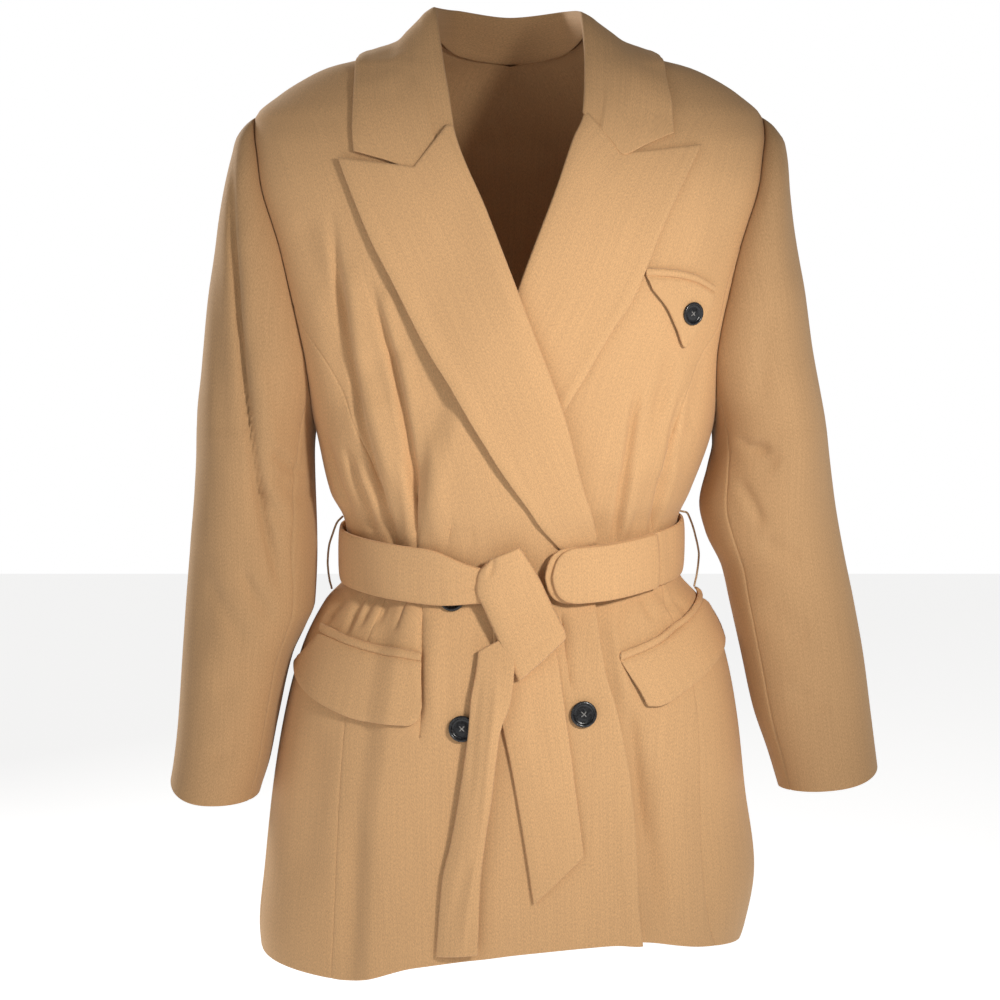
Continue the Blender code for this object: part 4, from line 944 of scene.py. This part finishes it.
def fine_rows(top, bottom, step=ROW_STEP):
    """Heights from top to bottom, closer together over the shoulder's tip."""
    upper = np.arange(TOP_ROW, SHOULDER_TIP + 3, -NECK_STEP)
    even = np.arange(EVEN_ROWS_START, HEM_ROW, -step)
    rows = [*upper, *TIP_ROWS, *even, HEM_ROW + LAST_STEP, HEM_ROW]
    rows = [row for row in rows if bottom < row < top]
    return np.array([top, *rows, bottom], float)


def body_panel(name, top, first, last, count, seams, lift, finish):
    """One panel from its top row to the hem, between two seams given as functions of the height."""
    rows = fine_rows(top, HEM_ROW)
    start, end = first(rows), last(rows)
    apart = np.linalg.norm(torso(start, rows)[0] - torso(end, rows)[0], axis=-1)
    angles = start[:, None] + spread(apart, count) * (end - start)[:, None]
    heights = hem_height(angles, rows[:, None] + 0 * angles)
    raised = 0 * angles if lift is None else lift(torso(angles, heights)[0][..., 0], heights)
    points, outward = skin_and_out(angles, heights)
    points = points + outward * raised[..., None]
    dip = seam_dip(points, seams)[..., None]
    face = points - outward * dip
    lining = points - outward * (dip * 0.4 + BODY_SHELL)
    dress(name, face, lining, finish, "hung", grain=(0.31 * len(name), 0.17 * count))


def line_of(rows):
    """The seam or edge with this table of x, as a function of the height."""
    return lambda height: angle_at_x(along(rows, "x", height), height)


def armhole(side, back=False):
    """The outer seam of a front or a back: shoulder seam, armhole, then side seam."""

    def seam(height):
        y = along(ARMHOLE, "back" if back else "front", height)
        hole = angle_at_y(y, height, side, back)
        lower = np.where(height > UNDERARM, hole, side * along(SIDE_SEAM, "angle", height))
        return np.where(height >= SHOULDER_TIP, side * 90.0, lower)

    return seam


def front_outer(side):
    """The outer seam of a centre front: the armhole as far down as the princess seam starts."""
    top = PRINCESS[side]["height"][0]
    return lambda height: np.where(height >= top, armhole(side)(height), line_of(PRINCESS[side])(height))


def back_centre(side):
    """The neck's edge, then the centre-back seam."""

    def seam(height):
        neck = angle_at_x(side * along(BACK_NECK, "x", height), height, back=True)
        return np.where(height > BACK_NECK["height"][-1], neck, side * 180.0)

    return seam


def curled_lap(x, height):
    """The wearer's right front on the left one, its free edge below the belt curling up a little."""
    inside = along(FRONT_EDGE[RIGHT], "x", height) - x
    free = smoothstep((LAP_FREE - height) / 30)
    return lap_lift(x, height) + LAP_CURL * free * np.exp(-((inside / LAP_CURL_WIDE) ** 2))


def add_body(finish):
    for side, word in SIDES:
        lift = curled_lap if side == RIGHT else None
        outer = front_outer(side)
        panels = (
            ("front", TOP_ROW, line_of(FRONT_EDGE[side]), outer, FRONT_COLUMNS, ("right",), lift),
            ("side_front", PRINCESS[side]["height"][0] - SIDE_FRONT_BELOW,
             line_of(PRINCESS[side]), armhole(side), SIDE_COLUMNS, ("left", "right"), None),
            ("back", TOP_ROW, back_centre(side), armhole(side, back=True),
             BACK_COLUMNS, ("left", "right"), None),
        )
        for piece, *values in panels:
            body_panel(f"{piece}_{word}", *values, finish)


def lapel(side):
    """Rows from the gorge down to the belt, columns from inside the roll to the outer edge."""
    share = np.concatenate([np.linspace(0, 0.25, 34), np.linspace(0.25, 1, 76)[1:]])[:, None]
    top = LAPEL_TOP[side] - GORGE_SEAM[side]
    roll_z = top + share * (LAPEL_ENDS - top)
    edge_top, edge_end = LAPEL_EDGE[side]["height"][[0, -1]]
    edge_z = edge_top + share * (edge_end - edge_top)
    roll_x = along(FRONT_EDGE[side], "x", roll_z)
    edge_x = along(LAPEL_EDGE[side], "x", edge_z)
    apex, drop = NOTCH[side]
    wide = np.abs(edge_x - roll_x)
    near = 1 - np.array(LAPEL_NEAR_EDGE)[None] / np.maximum(wide, 30)
    first = np.linspace(0.015, apex, 12)[None] + 0 * share
    second = apex + (near[:, :1] - apex) * np.linspace(0, 1, 28)[None, 1:]
    across = np.concatenate([first, second, near[:, 1:]], axis=1)
    fade = np.clip(1 - share / 0.22, 0, 1) ** 1.5
    notch = drop * np.interp(across, [0, apex, 1], [0, 1, 0]) * fade
    x = roll_x + across * (edge_x - roll_x)
    z = roll_z + across * (edge_z - roll_z) - notch
    flat = 1 - 0.4 * smoothstep((share - 0.75) / 0.25)
    section = ROLL_SECTION[side]
    steps = np.linspace(0, 3, 10)
    past, turned = (curve(steps, np.arange(4.0), section[key]) for key in ("past", "out"))
    rolled_x = roll_x - side * past[None, :-1]
    out = LAPEL_OUT[side] + ROLL_SOFT[side] * np.exp(-((wide * across - 7) / 12) ** 2) * (1 - share)
    out = out + LAPEL_CURL[side] * smoothstep((across - 0.75) / 0.25) * np.sin(np.pi * share) ** 2
    x = np.concatenate([rolled_x, x], axis=1)
    z = np.concatenate([roll_z + 0 * rolled_x, z], axis=1)
    out = np.concatenate([turned[None, :-1] * flat, out * flat], axis=1)
    if side == RIGHT:
        out = out + lap_lift(x, z, full=0, none=80)
    return skin(angle_at_x(x, z), z, out, creased=False)


def add_lapels(finish):
    for side, word in SIDES:
        face = lapel(side)
        out = grid_out(face) * side
        face = face + out * press(face, ("right",))[..., None]
        dip = SEAM_DIP * 0.5 * np.exp(-((lengths(face, 0) / SEAM_WIDE) ** 1.5))
        face = face - out * dip[..., None]
        lining = face - out * LAPEL_SHELL
        rests = [f"front_{word}_cloth"]
        dress(f"lapel_{word}", face, lining, finish, "folded", rests, (0.9, 0.4 * side))


def collar():
    """Rows along the collar, columns from the neck seam over the roll to the fall's edge."""
    even = np.linspace(0, COLLAR_ROWS[-1], 76)
    half = np.interp(even, COLLAR_ROWS, range(len(COLLAR_ROWS)))
    half = np.concatenate([[0, 0.02, 0.05, 0.1], half[1:]])
    station = np.concatenate([half, 10 - half[-2::-1]])
    seam, roll = collar_line(COLLAR_SEAM, station), collar_line(COLLAR_ROLL, station)
    fall, edge = collar_line(COLLAR_FALL, station), collar_line(COLLAR_EDGE, station)
    stand = np.linalg.norm(roll - seam, axis=-1, keepdims=True)
    turn = np.minimum(COLLAR_TURN, stand * 0.6)
    outward = unit((fall - roll) * [1, 1, 0])
    before = roll + unit(seam - roll) * turn - outward * turn * 0.35
    after = roll + unit(fall - roll) * COLLAR_TURN + outward * 1.5
    after = after + np.array([0, 0, 1.0]) * turn * 0.2
    fall = clear_of_torso(fall, COLLAR_CLEAR)
    edge = clear_of_torso(edge, COLLAR_CLEAR)
    knots = [seam, before, roll, after]
    knots += [after + (fall - after) * share for share in (0.33, 0.67)]
    knots += [fall, fall + (edge - fall) * 0.5, edge]
    knots = np.stack(knots, axis=1)
    at = COLLAR_COLUMNS
    points = np.stack([smooth_through(COLLAR_PLACES, knots[:, :, k], at) for k in range(3)], axis=-1)
    far = at >= FALL_STARTS
    points[:, far] = clear_of_torso(points[:, far], COLLAR_CLEAR)
    return points


def smooth_through(places, values, at):
    """Rows of values at these places, read at new places on soft curves (Catmull-Rom)."""
    slope = np.gradient(values, places, axis=1)
    k = np.clip(np.searchsorted(places, at, "right") - 1, 0, len(places) - 2)
    run = (places[k + 1] - places[k])[None]
    t = ((at - places[k]) / (places[k + 1] - places[k]))[None]
    a, b = values[:, k], values[:, k + 1]
    lead, trail = slope[:, k] * run, slope[:, k + 1] * run
    return (
        a * (2 * t**3 - 3 * t**2 + 1) + lead * (t**3 - 2 * t**2 + t)
        + b * (3 * t**2 - 2 * t**3) + trail * (t**3 - t**2)
    )


def add_collar(finish):
    face = collar()
    out = grid_out(face)
    face = face + out * press(face, ("right",), high=0.5)[..., None]
    resting = [f"back_{word}_cloth" for _, word in SIDES]
    dress("collar", face, face - out * COLLAR_SHELL, finish, "folded", resting, (0.4, 1.9))


def ring_shape(side, height):
    """A sleeve slice's centre, half width, half depth and, above the underarm, its seam's place."""
    depth = along(SLEEVE_DEPTH, "half", height)
    outer = along(SLEEVE_OUT[side], "x", height)
    front = angle_at_y(along(ARMHOLE, "front", height), height, side)
    back = angle_at_y(along(ARMHOLE, "back", height), height, side, back=True)
    hole_front, hole_back = torso(front, height)[0], torso(back, height)[0]
    chord = (hole_back[..., 1] - hole_front[..., 1]) / 2
    hole_x = np.abs(hole_front[..., 0] + hole_back[..., 0]) / 2
    share = (1 - np.clip(chord / depth, 0, 0.98) ** SLEEVE_SQUARE) ** (1 / SLEEVE_SQUARE)
    on_body = height > UNDERARM
    inner = along(SLEEVE_IN[side], "x", height)
    half = np.where(on_body, (outer - hole_x) / (1 + share), (outer - inner) / 2)
    middle = (hole_back[..., 1] + hole_front[..., 1]) / 2
    centre_y = np.where(on_body, middle, along(SLEEVE_DEPTH, "centre", height))
    start = np.where(on_body, np.degrees(np.arctan2(chord, share * half)), 0)
    return outer - half, centre_y, half, depth, start


def sleeve_ring(side, turn, height):
    """A sleeve's surface: turn is 0 at its inner side, 90 in front and 180 outside."""
    centre_x, centre_y, half, depth, _ = ring_shape(side, height)
    c, s = np.cos(np.radians(turn)), np.sin(np.radians(turn))
    reach = (np.abs(c) / half) ** SLEEVE_SQUARE + (np.abs(s) / depth) ** SLEEVE_SQUARE
    radius = reach ** (-1 / SLEEVE_SQUARE)
    x = side * (centre_x - radius * c)
    y = centre_y - radius * s
    out = unit(np.stack([-side * c / half, -s / depth, 0 * x], axis=-1))
    sunk = sunk_by((SLEEVE_FOLDS, SLEEVE_CREASES), (SLEEVE_BACK_FOLDS,), x, height, out)
    return np.stack([x, y, height + 0 * x], axis=-1) - out * sunk[..., None]


def sleeve_skin(side, turn, height):
    """Points on a sleeve's surface, and its outward directions there."""
    round_ = sleeve_ring(side, turn + 1, height) - sleeve_ring(side, turn - 1, height)
    climb = sleeve_ring(side, turn, height + 1) - sleeve_ring(side, turn, height - 1)
    return sleeve_ring(side, turn, height), side * unit(np.cross(round_, climb))


def cuff_height(side, turn, height):
    share = np.clip((CUFF_STARTS - height) / (CUFF_STARTS - CUFF_ROW), 0, 1)
    return height + share * (along(CUFF[side], "height", turn % 360, key="angle") - CUFF_ROW)


def seam_turn(side, height):
    """Where the sleeve's front seam lies: on the armhole, then easing to its line down the sleeve."""
    on_hole = ring_shape(side, np.maximum(height, UNDER_STARTS))[4]
    share = np.clip((height - UNDER_STARTS) / (CUFF_ROW - UNDER_STARTS), 0, 1)
    return on_hole + (along(SLEEVE_SEAM, "angle", height) - on_hole) * (1 - (1 - share) ** 4)


def hole_point(side, height, back=False):
    """The armhole seam on the body."""
    y = along(ARMHOLE, "back" if back else "front", height)
    point = skin(angle_at_y(y, height, side, back), height, -SEAM_DIP * 0.5)
    point[..., 0] += side * SEAM
    return point


def hole_shift(rows, lowest, shift):
    """A seam's shift to the armhole, fading down the sleeve below the under sleeve's start."""
    share = np.clip((rows - UNDER_STARTS) / (CUFF_ROW - UNDER_STARTS), 0, 1)[:, None]
    faded = shift[lowest] * (1 - share) ** SHIFT_FADE
    return np.where(rows[:, None] >= UNDER_STARTS, shift, faded)[:, None]


def sleeve_cloth(face, outward, shift, wall):
    """A sleeve panel's face and lining, dipped at its seams and shifted to the armhole."""
    dip = seam_dip(face, ("left", "right"))[..., None]
    return face - outward * dip + shift, face - outward * (dip * 0.4 + wall) + shift


def upper_sleeve(side):
    rows = np.concatenate(
        [TIP_ROWS[1:], np.arange(EVEN_ROWS_START, UNDER_STARTS, -ROW_STEP),
         np.arange(UNDER_STARTS, CUFF_ROW + 1.1, -ROW_STEP), [CUFF_ROW + 1, CUFF_ROW]]
    )
    start = seam_turn(side, rows)
    half, deep = ring_shape(side, rows)[2:4]
    round_ = np.pi * (half + deep) * (360 - 2 * start) / 360
    turn = start[:, None] + spread(round_, SLEEVE_COLUMNS) * (360 - 2 * start)[:, None]
    height = cuff_height(side, turn, rows[:, None] + 0 * turn)
    face, outward = sleeve_skin(side, turn, height)
    lowest = int(np.argmin(np.abs(rows - UNDER_STARTS)))
    front = hole_shift(rows, lowest, hole_point(side, rows) - face[:, 0])
    back = hole_shift(rows, lowest, hole_point(side, rows, back=True) - face[:, -1])
    share = lengths(face, 1)
    share = (share / share[:, -1:])[..., None]
    shift = front * (1 - share) ** 4 + back * share**4
    wall = np.interp(-rows, [53.4, 63, 82], [0.5, 1.0, BODY_SHELL])[:, None, None]
    return sleeve_cloth(face, outward, shift, wall)


def under_sleeve(side):
    """Columns hang from the armhole's lower curve and end at the cuff."""
    lowest = np.linspace(-1, 1, 41)
    tops = UNDERARM + (UNDER_STARTS - UNDERARM) * np.abs(lowest) ** 2.2
    first = -np.sign(lowest) * ring_shape(side, np.maximum(tops, UNDERARM + 0.01))[4]
    rows = np.arange(UNDER_STARTS, CUFF_ROW + 1.1, -ROW_STEP)
    rows = np.concatenate([rows, [CUFF_ROW + 1, CUFF_ROW]])[:, None]
    share = (rows - UNDER_STARTS) / (CUFF_ROW - UNDER_STARTS)
    nominal = tops + share * (CUFF_ROW - tops)
    even = -lowest
    start = seam_turn(side, np.full(tops.shape, UNDER_STARTS, float))
    turn = even * seam_turn(side, nominal) + (first - even * start) * (1 - share) ** 2
    height = cuff_height(side, turn, nominal)
    face, outward = sleeve_skin(side, turn, height)
    hole = np.where((lowest > 0)[:, None], hole_point(side, tops, back=True), hole_point(side, tops))
    shift = (hole - face[0]) * (1 - share[..., None]) ** SHIFT_FADE
    return sleeve_cloth(face, outward, shift, BODY_SHELL)


def add_sleeves(finish):
    for side, word in SIDES:
        dress(f"upper_sleeve_{word}", *upper_sleeve(side), finish, "hung", (), (2.2, side * 0.7))
        dress(f"under_sleeve_{word}", *under_sleeve(side), finish, "hung", (), (3.1, side * 0.9))


def front_strip(side, top, bottom, shares, down, out):
    """Points on one front between a top and a bottom edge, each a function of the share across."""
    down = down[:, None, None]
    points = top(shares)[None] * (1 - down) + bottom(shares)[None] * down
    x, z = points[..., 0], points[..., 1]
    lift = lap_lift(x, z) if side == RIGHT else 0 * x
    base, outward = skin_and_out(angle_at_x(x, z), z, creased=False)
    return lambda more: base + outward * (out + lift + more)[..., None]


def edge_of(points, lower=0.0):
    """The edge through a table's x and z, as a function of the share across."""
    places = points.get("share", np.linspace(0, 1, len(points["x"])))
    return lambda share: np.stack(
        [curve(share, places, points["x"]), curve(share, places, points["z"]) - lower], axis=-1
    )


def add_pocket(names, side, welt, height, flap, panel, finish):
    """A welt and, close under it, a flap with pressed edges."""
    middle = np.linspace(0.035, 0.965, 56)
    across = np.concatenate([[0, 0.004, 0.01, 0.02], middle, [0.98, 0.99, 0.996, 1]])
    down = np.array([0, 0.12, 0.3, 0.5, 0.7, 0.88, 1])
    low, under = edge_of(welt, height), edge_of(welt, height + UNDER_WELT)
    lip = front_strip(side, edge_of(welt), low, across, down, WELT_OUT)
    round_ = -1.1 * np.abs(2 * down[:, None] - 1) ** 2.5 + 0 * across
    dress(names[0], lip(round_), lip(round_ * 0 - WELT_WALL), finish, "folded", [panel], (0.2, 0.8))
    down = np.concatenate([np.linspace(0, 0.94, 26), [0.965, 0.98, 0.99, 1]])
    hang = front_strip(side, under, edge_of(flap), across, down, FLAP_OUT)
    plain = hang(0.0)
    rise = press(plain, ("left", "right", "bottom"), high=0.4)
    rise = rise - 1.4 * np.exp(-((lengths(plain, 0) / 2.2) ** 2))
    swell = FLAP_SWELL * np.sin(np.pi * across)[None] ** 0.8 * np.sin(np.pi * down * 0.8)[:, None]
    face = hang(rise + swell)
    dress(names[1], face, hang(rise + swell - FLAP_SHELL), finish, "hung", [panel], (0.5, 0.3))


def add_pockets(finish):
    for side, word in SIDES:
        names = f"hip_welt_{word}", f"hip_flap_{word}"
        panel = f"front_{word}_cloth"
        add_pocket(
            names, side, HIP_WELT[side], HIP_WELT_HEIGHT, HIP_FLAP_BOTTOM[side], panel, finish
        )
    names = "chest_welt", "chest_flap"
    add_pocket(
        names, LEFT, CHEST_WELT, CHEST_WELT_HEIGHT, CHEST_FLAP_BOTTOM, "front_left_cloth", finish
    )


def plain_mesh(name, points, faces, finish):
    mesh = bpy.data.meshes.new(name)
    mesh.from_pydata((np.asarray(points) * MM).tolist(), [], faces)
    mesh.validate()
    mesh.shade_smooth()
    mesh.materials.append(finish)
    return place_object(name, mesh)


def tube(name, points, radius, finish, node=None):
    """A thin thread through points in millimetres."""
    data = bpy.data.curves.new(name, "CURVE")
    data.dimensions = "3D"
    data.bevel_depth = radius * MM
    data.bevel_resolution = 3
    data.use_fill_caps = True
    line = data.splines.new("POLY")
    line.points.add(len(points) - 1)
    for k, point in enumerate(np.asarray(points) * MM):
        line.points[k].co = (*point, 1)
    data.materials.append(finish)
    obj = place_object(name, data)
    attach(obj, "root")
    if node:
        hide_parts(node)
    return obj


def add_button(name, x, z, scale, rise, horn, thread):
    """A turned button with a rim and a bowl, and a cross of thread on the bowl's floor."""
    angle = angle_at_x(x, z)
    seat = skin(angle, z, rise)
    out = unit(skin(angle, z, rise + 10) - seat)
    across = unit(np.cross([0, 0, 1.0], out))
    up = np.cross(out, across)
    turns = np.radians(np.arange(BUTTON_SIDES) * 360 / BUTTON_SIDES)
    ring = np.cos(turns)[:, None] * across + np.sin(turns)[:, None] * up
    points, faces = [seat], []
    for radius, high in zip(HORN_SECTION["radius"], HORN_SECTION["rise"]):
        points.extend(seat + scale * radius * ring + scale * high * out)
    points.append(seat + scale * HORN_SECTION["rise"][-1] * out)
    levels, n = len(HORN_SECTION["radius"]), BUTTON_SIDES
    for k in range(n):
        after = (k + 1) % n
        faces.append((0, 1 + after, 1 + k))
        for level in range(levels - 1):
            low, high = 1 + level * n, 1 + (level + 1) * n
            faces.append((low + k, low + after, high + after, high + k))
        last = 1 + (levels - 1) * n
        faces.append((last + k, last + after, 1 + levels * n))
    obj = plain_mesh(f"{name}_horn", points, faces, horn)
    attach(obj, "root")
    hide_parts(name)
    floor = seat + scale * HORN_SECTION["rise"][-1] * out
    for number, (first, last) in enumerate(THREAD_CROSS):
        steps = np.linspace(0, 1, 9)[:, None]
        start, end = (np.array(place) * scale for place in (first, last))
        flat = start + (end - start) * steps
        high = THREAD_ARCH * scale * np.sin(np.pi * steps[:, 0]) ** 0.5 - 0.4
        path = floor + flat[:, :1] * across + flat[:, 1:] * up + high[:, None] * out
        tube(f"{name}_thread_{number}", path, THREAD_THICK * scale, thread)


def add_buttons(horn, thread):
    for name, (x, z, scale, gap) in BUTTONS.items():
        under = FLAP_OUT if name == "button_chest" else float(lap_lift(x, z))
        add_button(name, x, z, scale, under + gap, horn, thread)


def round_end(x, end):
    """Half the belt's height near a rounded end."""
    share = np.clip(np.abs(x - end) / END_REACH, 0, 1)
    return BELT_HALF * (1 - (1 - share) ** 2.4) ** (1 / 2.4)


def belt_strip(name, angles, stand, half, rests, finish, grain, sag=0.0):
    """A strip of the belt, upright on the waist, padded and creased a little."""
    middle = along(BELT, "height", angles, key="angle") - sag
    point, direction = torso(angles, middle)
    places = np.array([-1, -0.985, -0.96, -0.92, *np.linspace(-0.85, 0.85, 17), 0.92, 0.96, 0.985, 1])
    up = -places[:, None]
    off = along(BELT, "out", angles, key="angle") + stand + BELT_WALL
    height = middle + up * half
    crown = BELT_CROWN * (1 - np.abs(up) ** 3.0) - 0.5 * np.abs(up) ** 12
    run = np.concatenate([[0], np.cumsum(np.linalg.norm(np.diff(point, axis=0), axis=-1))])
    crease = fold_depth(BELT_CREASES, point[:, 0] + 0 * up, height)
    front = np.clip(-direction[:, 1], 0, 1)
    wave = BELT_WAVE * np.sin(run / 19 + 1.7 * np.sin(run / 43) + 1.2 * up)
    out = off + crown + wave - crease * front
    face = point + direction * out[..., None]
    face[..., 2] = height
    inner = point + direction * (off - BELT_WALL)[None, :, None] + 0 * face
    inner[..., 2] = height * 0.999 + middle * 0.001
    dress(name, face, inner, finish, "laid", rests, grain)


def add_belt(finish):
    waist = along(BELT, "height", 0.0, key="angle")
    right_end = float(angle_at_x(BELT_RIGHT_END, waist))
    resting = ["front_right_cloth", "back_right_cloth"]
    angles = np.linspace(-BELT_BACK_END, right_end, BELT_RIGHT_COLUMNS)
    x = torso(angles, waist)[0][:, 0]
    drawn = smoothstep((x + 64) / 46) * (np.abs(angles) < 60)
    half = BELT_HALF - BELT_DRAWN * drawn
    belt_strip("belt_right", angles, 0.0, half, resting, finish, (0, 3), BELT_SAG * drawn)
    ends = BELT_LEFT_END + np.array(ROUND_END_STEPS)
    rounded = angle_at_x(ends, waist)
    angles = np.concatenate([rounded, np.linspace(rounded[-1], BELT_BACK_END, BELT_LEFT_COLUMNS)[1:]])
    x = torso(angles, waist)[0][:, 0]
    half = np.where(np.abs(angles) < 60, np.maximum(round_end(x, BELT_LEFT_END), END_HALF), BELT_HALF)
    resting = ["front_right_cloth", "back_left_cloth"]
    belt_strip("belt_left", angles, 0.0, half, resting, finish, (0, 3.4))
    first, last = LOOP_ENDS
    places = np.concatenate([ends - BELT_LEFT_END + first, np.linspace(first + 23, last, LOOP_COLUMNS)])
    angles = angle_at_x(places, waist)
    half = np.maximum(round_end(places, first), END_HALF)
    stand = BELT_WALL + LOOP_GAP
    belt_strip("belt_loop", angles, stand, half, ["belt_left_cloth"], finish, (0, 3.8))


def hung_strip(
    name, rows, count, wall, creases, held, rests, finish, grain, sink=0.0, lip=0.5, lean=0.0
):
    """A strip in front view, from a row table, bowed outwards, with its creases and pressed edges."""
    down = np.arange(len(rows["out"]), dtype=float)
    middle = np.linspace(0.08, down[-1] - 0.08, count)
    at = np.concatenate([[0, 0.03], middle, [down[-1] - 0.03, down[-1]]])
    rows = {key: curve(at, down, values) for key, values in rows.items()}
    middle = np.linspace(0.13, 0.87, 19)
    share = np.concatenate([[0, 0.015, 0.04, 0.08], middle, [0.92, 0.96, 0.985, 1]])
    x = rows["right_x"][:, None] * (1 - share) + rows["left_x"][:, None] * share
    z = rows["right_z"][:, None] * (1 - share) + rows["left_z"][:, None] * share
    out = rows["out"][:, None] + rows["bow"][:, None] * np.sin(np.pi * share) + lean * share
    out = out - sink * (2 * share - 1) ** 4 + lip * (1 - (2 * share - 1) ** 8) - lip
    out = out - fold_depth(creases, x, z)
    point, direction = torso(angle_at_x(x, z), z)
    face = point + direction * out[..., None]
    inner = point + direction * (out - wall)[..., None]
    dress(name, face, inner, finish, held, rests, grain)


def add_knot_and_tails(finish):
    rests = ["belt_left_cloth", "belt_right_cloth"]
    hung_strip(
        "belt_knot", KNOT, KNOT_ROWS, KNOT_WALL, KNOT_CREASES, "folded", rests, finish, (1, 4),
        sink=1.4, lip=1.2,
    )
    tails = (
        ("belt_tail_right", TAIL_RIGHT, TAIL_RIGHT_ROWS, (2, 4), TAIL_LEAN),
        ("belt_tail_left", TAIL_LEFT, TAIL_LEFT_ROWS, (3, 4), 0.0),
    )
    for name, rows, count, grain, lean in tails:
        hung_strip(
            name, rows, count, TAIL_WALL, TAIL_CREASES, "hung", ["front_right_cloth"], finish,
            grain, lean=lean,
        )


def add_carriers(thread):
    for side, word in SIDES:
        rows = CARRIER[side]
        places = np.arange(len(rows["x"]), dtype=float)
        at = np.linspace(0, places[-1], 60)
        x, z = curve(at, places, rows["x"]), curve(at, places, rows["z"])
        path = np.stack([x, 0.5 * np.sin(at * 9), z], axis=-1)
        tube(f"belt_carrier_{word}_thread", path, CARRIER_RADIUS, thread, f"belt_carrier_{word}")


def place_light(data, place, aim):
    light = place_object(data.name, data)
    light.location = place
    light.rotation_euler = (Vector(aim) - Vector(place)).to_track_quat("-Z", "Y").to_euler()


def add_stage():
    """A plain pale floor below the worn garment, soft studio lights and the camera."""
    finish, _, paint = new_finish("floor")
    corners = [(x * FLOOR_REACH, y * FLOOR_REACH, 0) for x, y in ((-1, -1), (1, -1), (1, 1), (-1, 1))]
    floor = plain_mesh("floor", corners, [(0, 1, 2, 3)], finish)
    floor.location.z = FLOOR
    white = (1, 1, 1, 1)
    set_values(paint, {"Base Color": (0.9, 0.9, 0.9, 1), "Emission Color": white})
    set_values(paint, {"Emission Strength": FLOOR_GLOW})
    key = bpy.data.lights.new("key", "SPOT")
    key.energy, key.color, key.shadow_soft_size = KEY_POWER, KEY_COLOUR, KEY_SIZE
    key.spot_size, key.spot_blend = math.radians(KEY_BEAM), 1.0
    place_light(key, KEY_PLACE, KEY_AIM)
    for name, place, aim, size, power in LIGHTS:
        data = bpy.data.lights.new(name, "AREA")
        data.shape = "DISK"
        data.size, data.energy, data.color = size, power, LIGHT_COLOUR
        place_light(data, place, aim)
    scene = bpy.context.scene
    world = bpy.data.worlds.new("studio")
    world.use_nodes = True
    scene.world = world
    tree = world.node_tree
    seen = tree.nodes["Background"]
    set_values(seen, {"Color": white, "Strength": 1.0})
    lighting = add_node(tree, "Background", {"Color": AMBIENT_COLOUR, "Strength": AMBIENT})
    seen_directly = add_node(tree, "LightPath").outputs["Is Camera Ray"]
    mix = add_node(
        tree, "MixShader", (), {"Fac": seen_directly, 1: lighting.outputs[0], 2: seen.outputs[0]}
    )
    tree.links.new(mix.outputs[0], tree.nodes["World Output"].inputs["Surface"])
    scene.view_settings.view_transform = "Standard"
    data = bpy.data.cameras.new("camera")
    data.sensor_width, data.lens, data.shift_x = 36.0, LENS, SHIFT_X
    data.clip_start, data.clip_end = 0.05, 50
    camera = place_object("camera", data)
    camera.location = CAMERA
    camera.rotation_euler = (math.radians(90 - PITCH), 0, 0)
    scene.camera = camera


def main():
    add_stage()
    cloth = cloth_finish("suiting")
    # The sleeves get a darker copy of the cloth: painted shade.
    sleeves = cloth_finish("suiting_sleeves_painted_shade", SLEEVE_PAINTED_SHADE)
    belt = cloth_finish("suiting_belt", BELT_TONE)
    horn, thread = horn_finish(), thread_finish("carrier_thread", CARRIER_THREAD)
    add_body(cloth)
    add_lapels(cloth)
    add_collar(cloth)
    add_sleeves(sleeves)
    add_pockets(cloth)
    add_buttons(horn, thread_finish("button_thread", BUTTON_THREAD))
    add_belt(belt)
    add_knot_and_tails(belt)
    add_carriers(thread)


main()
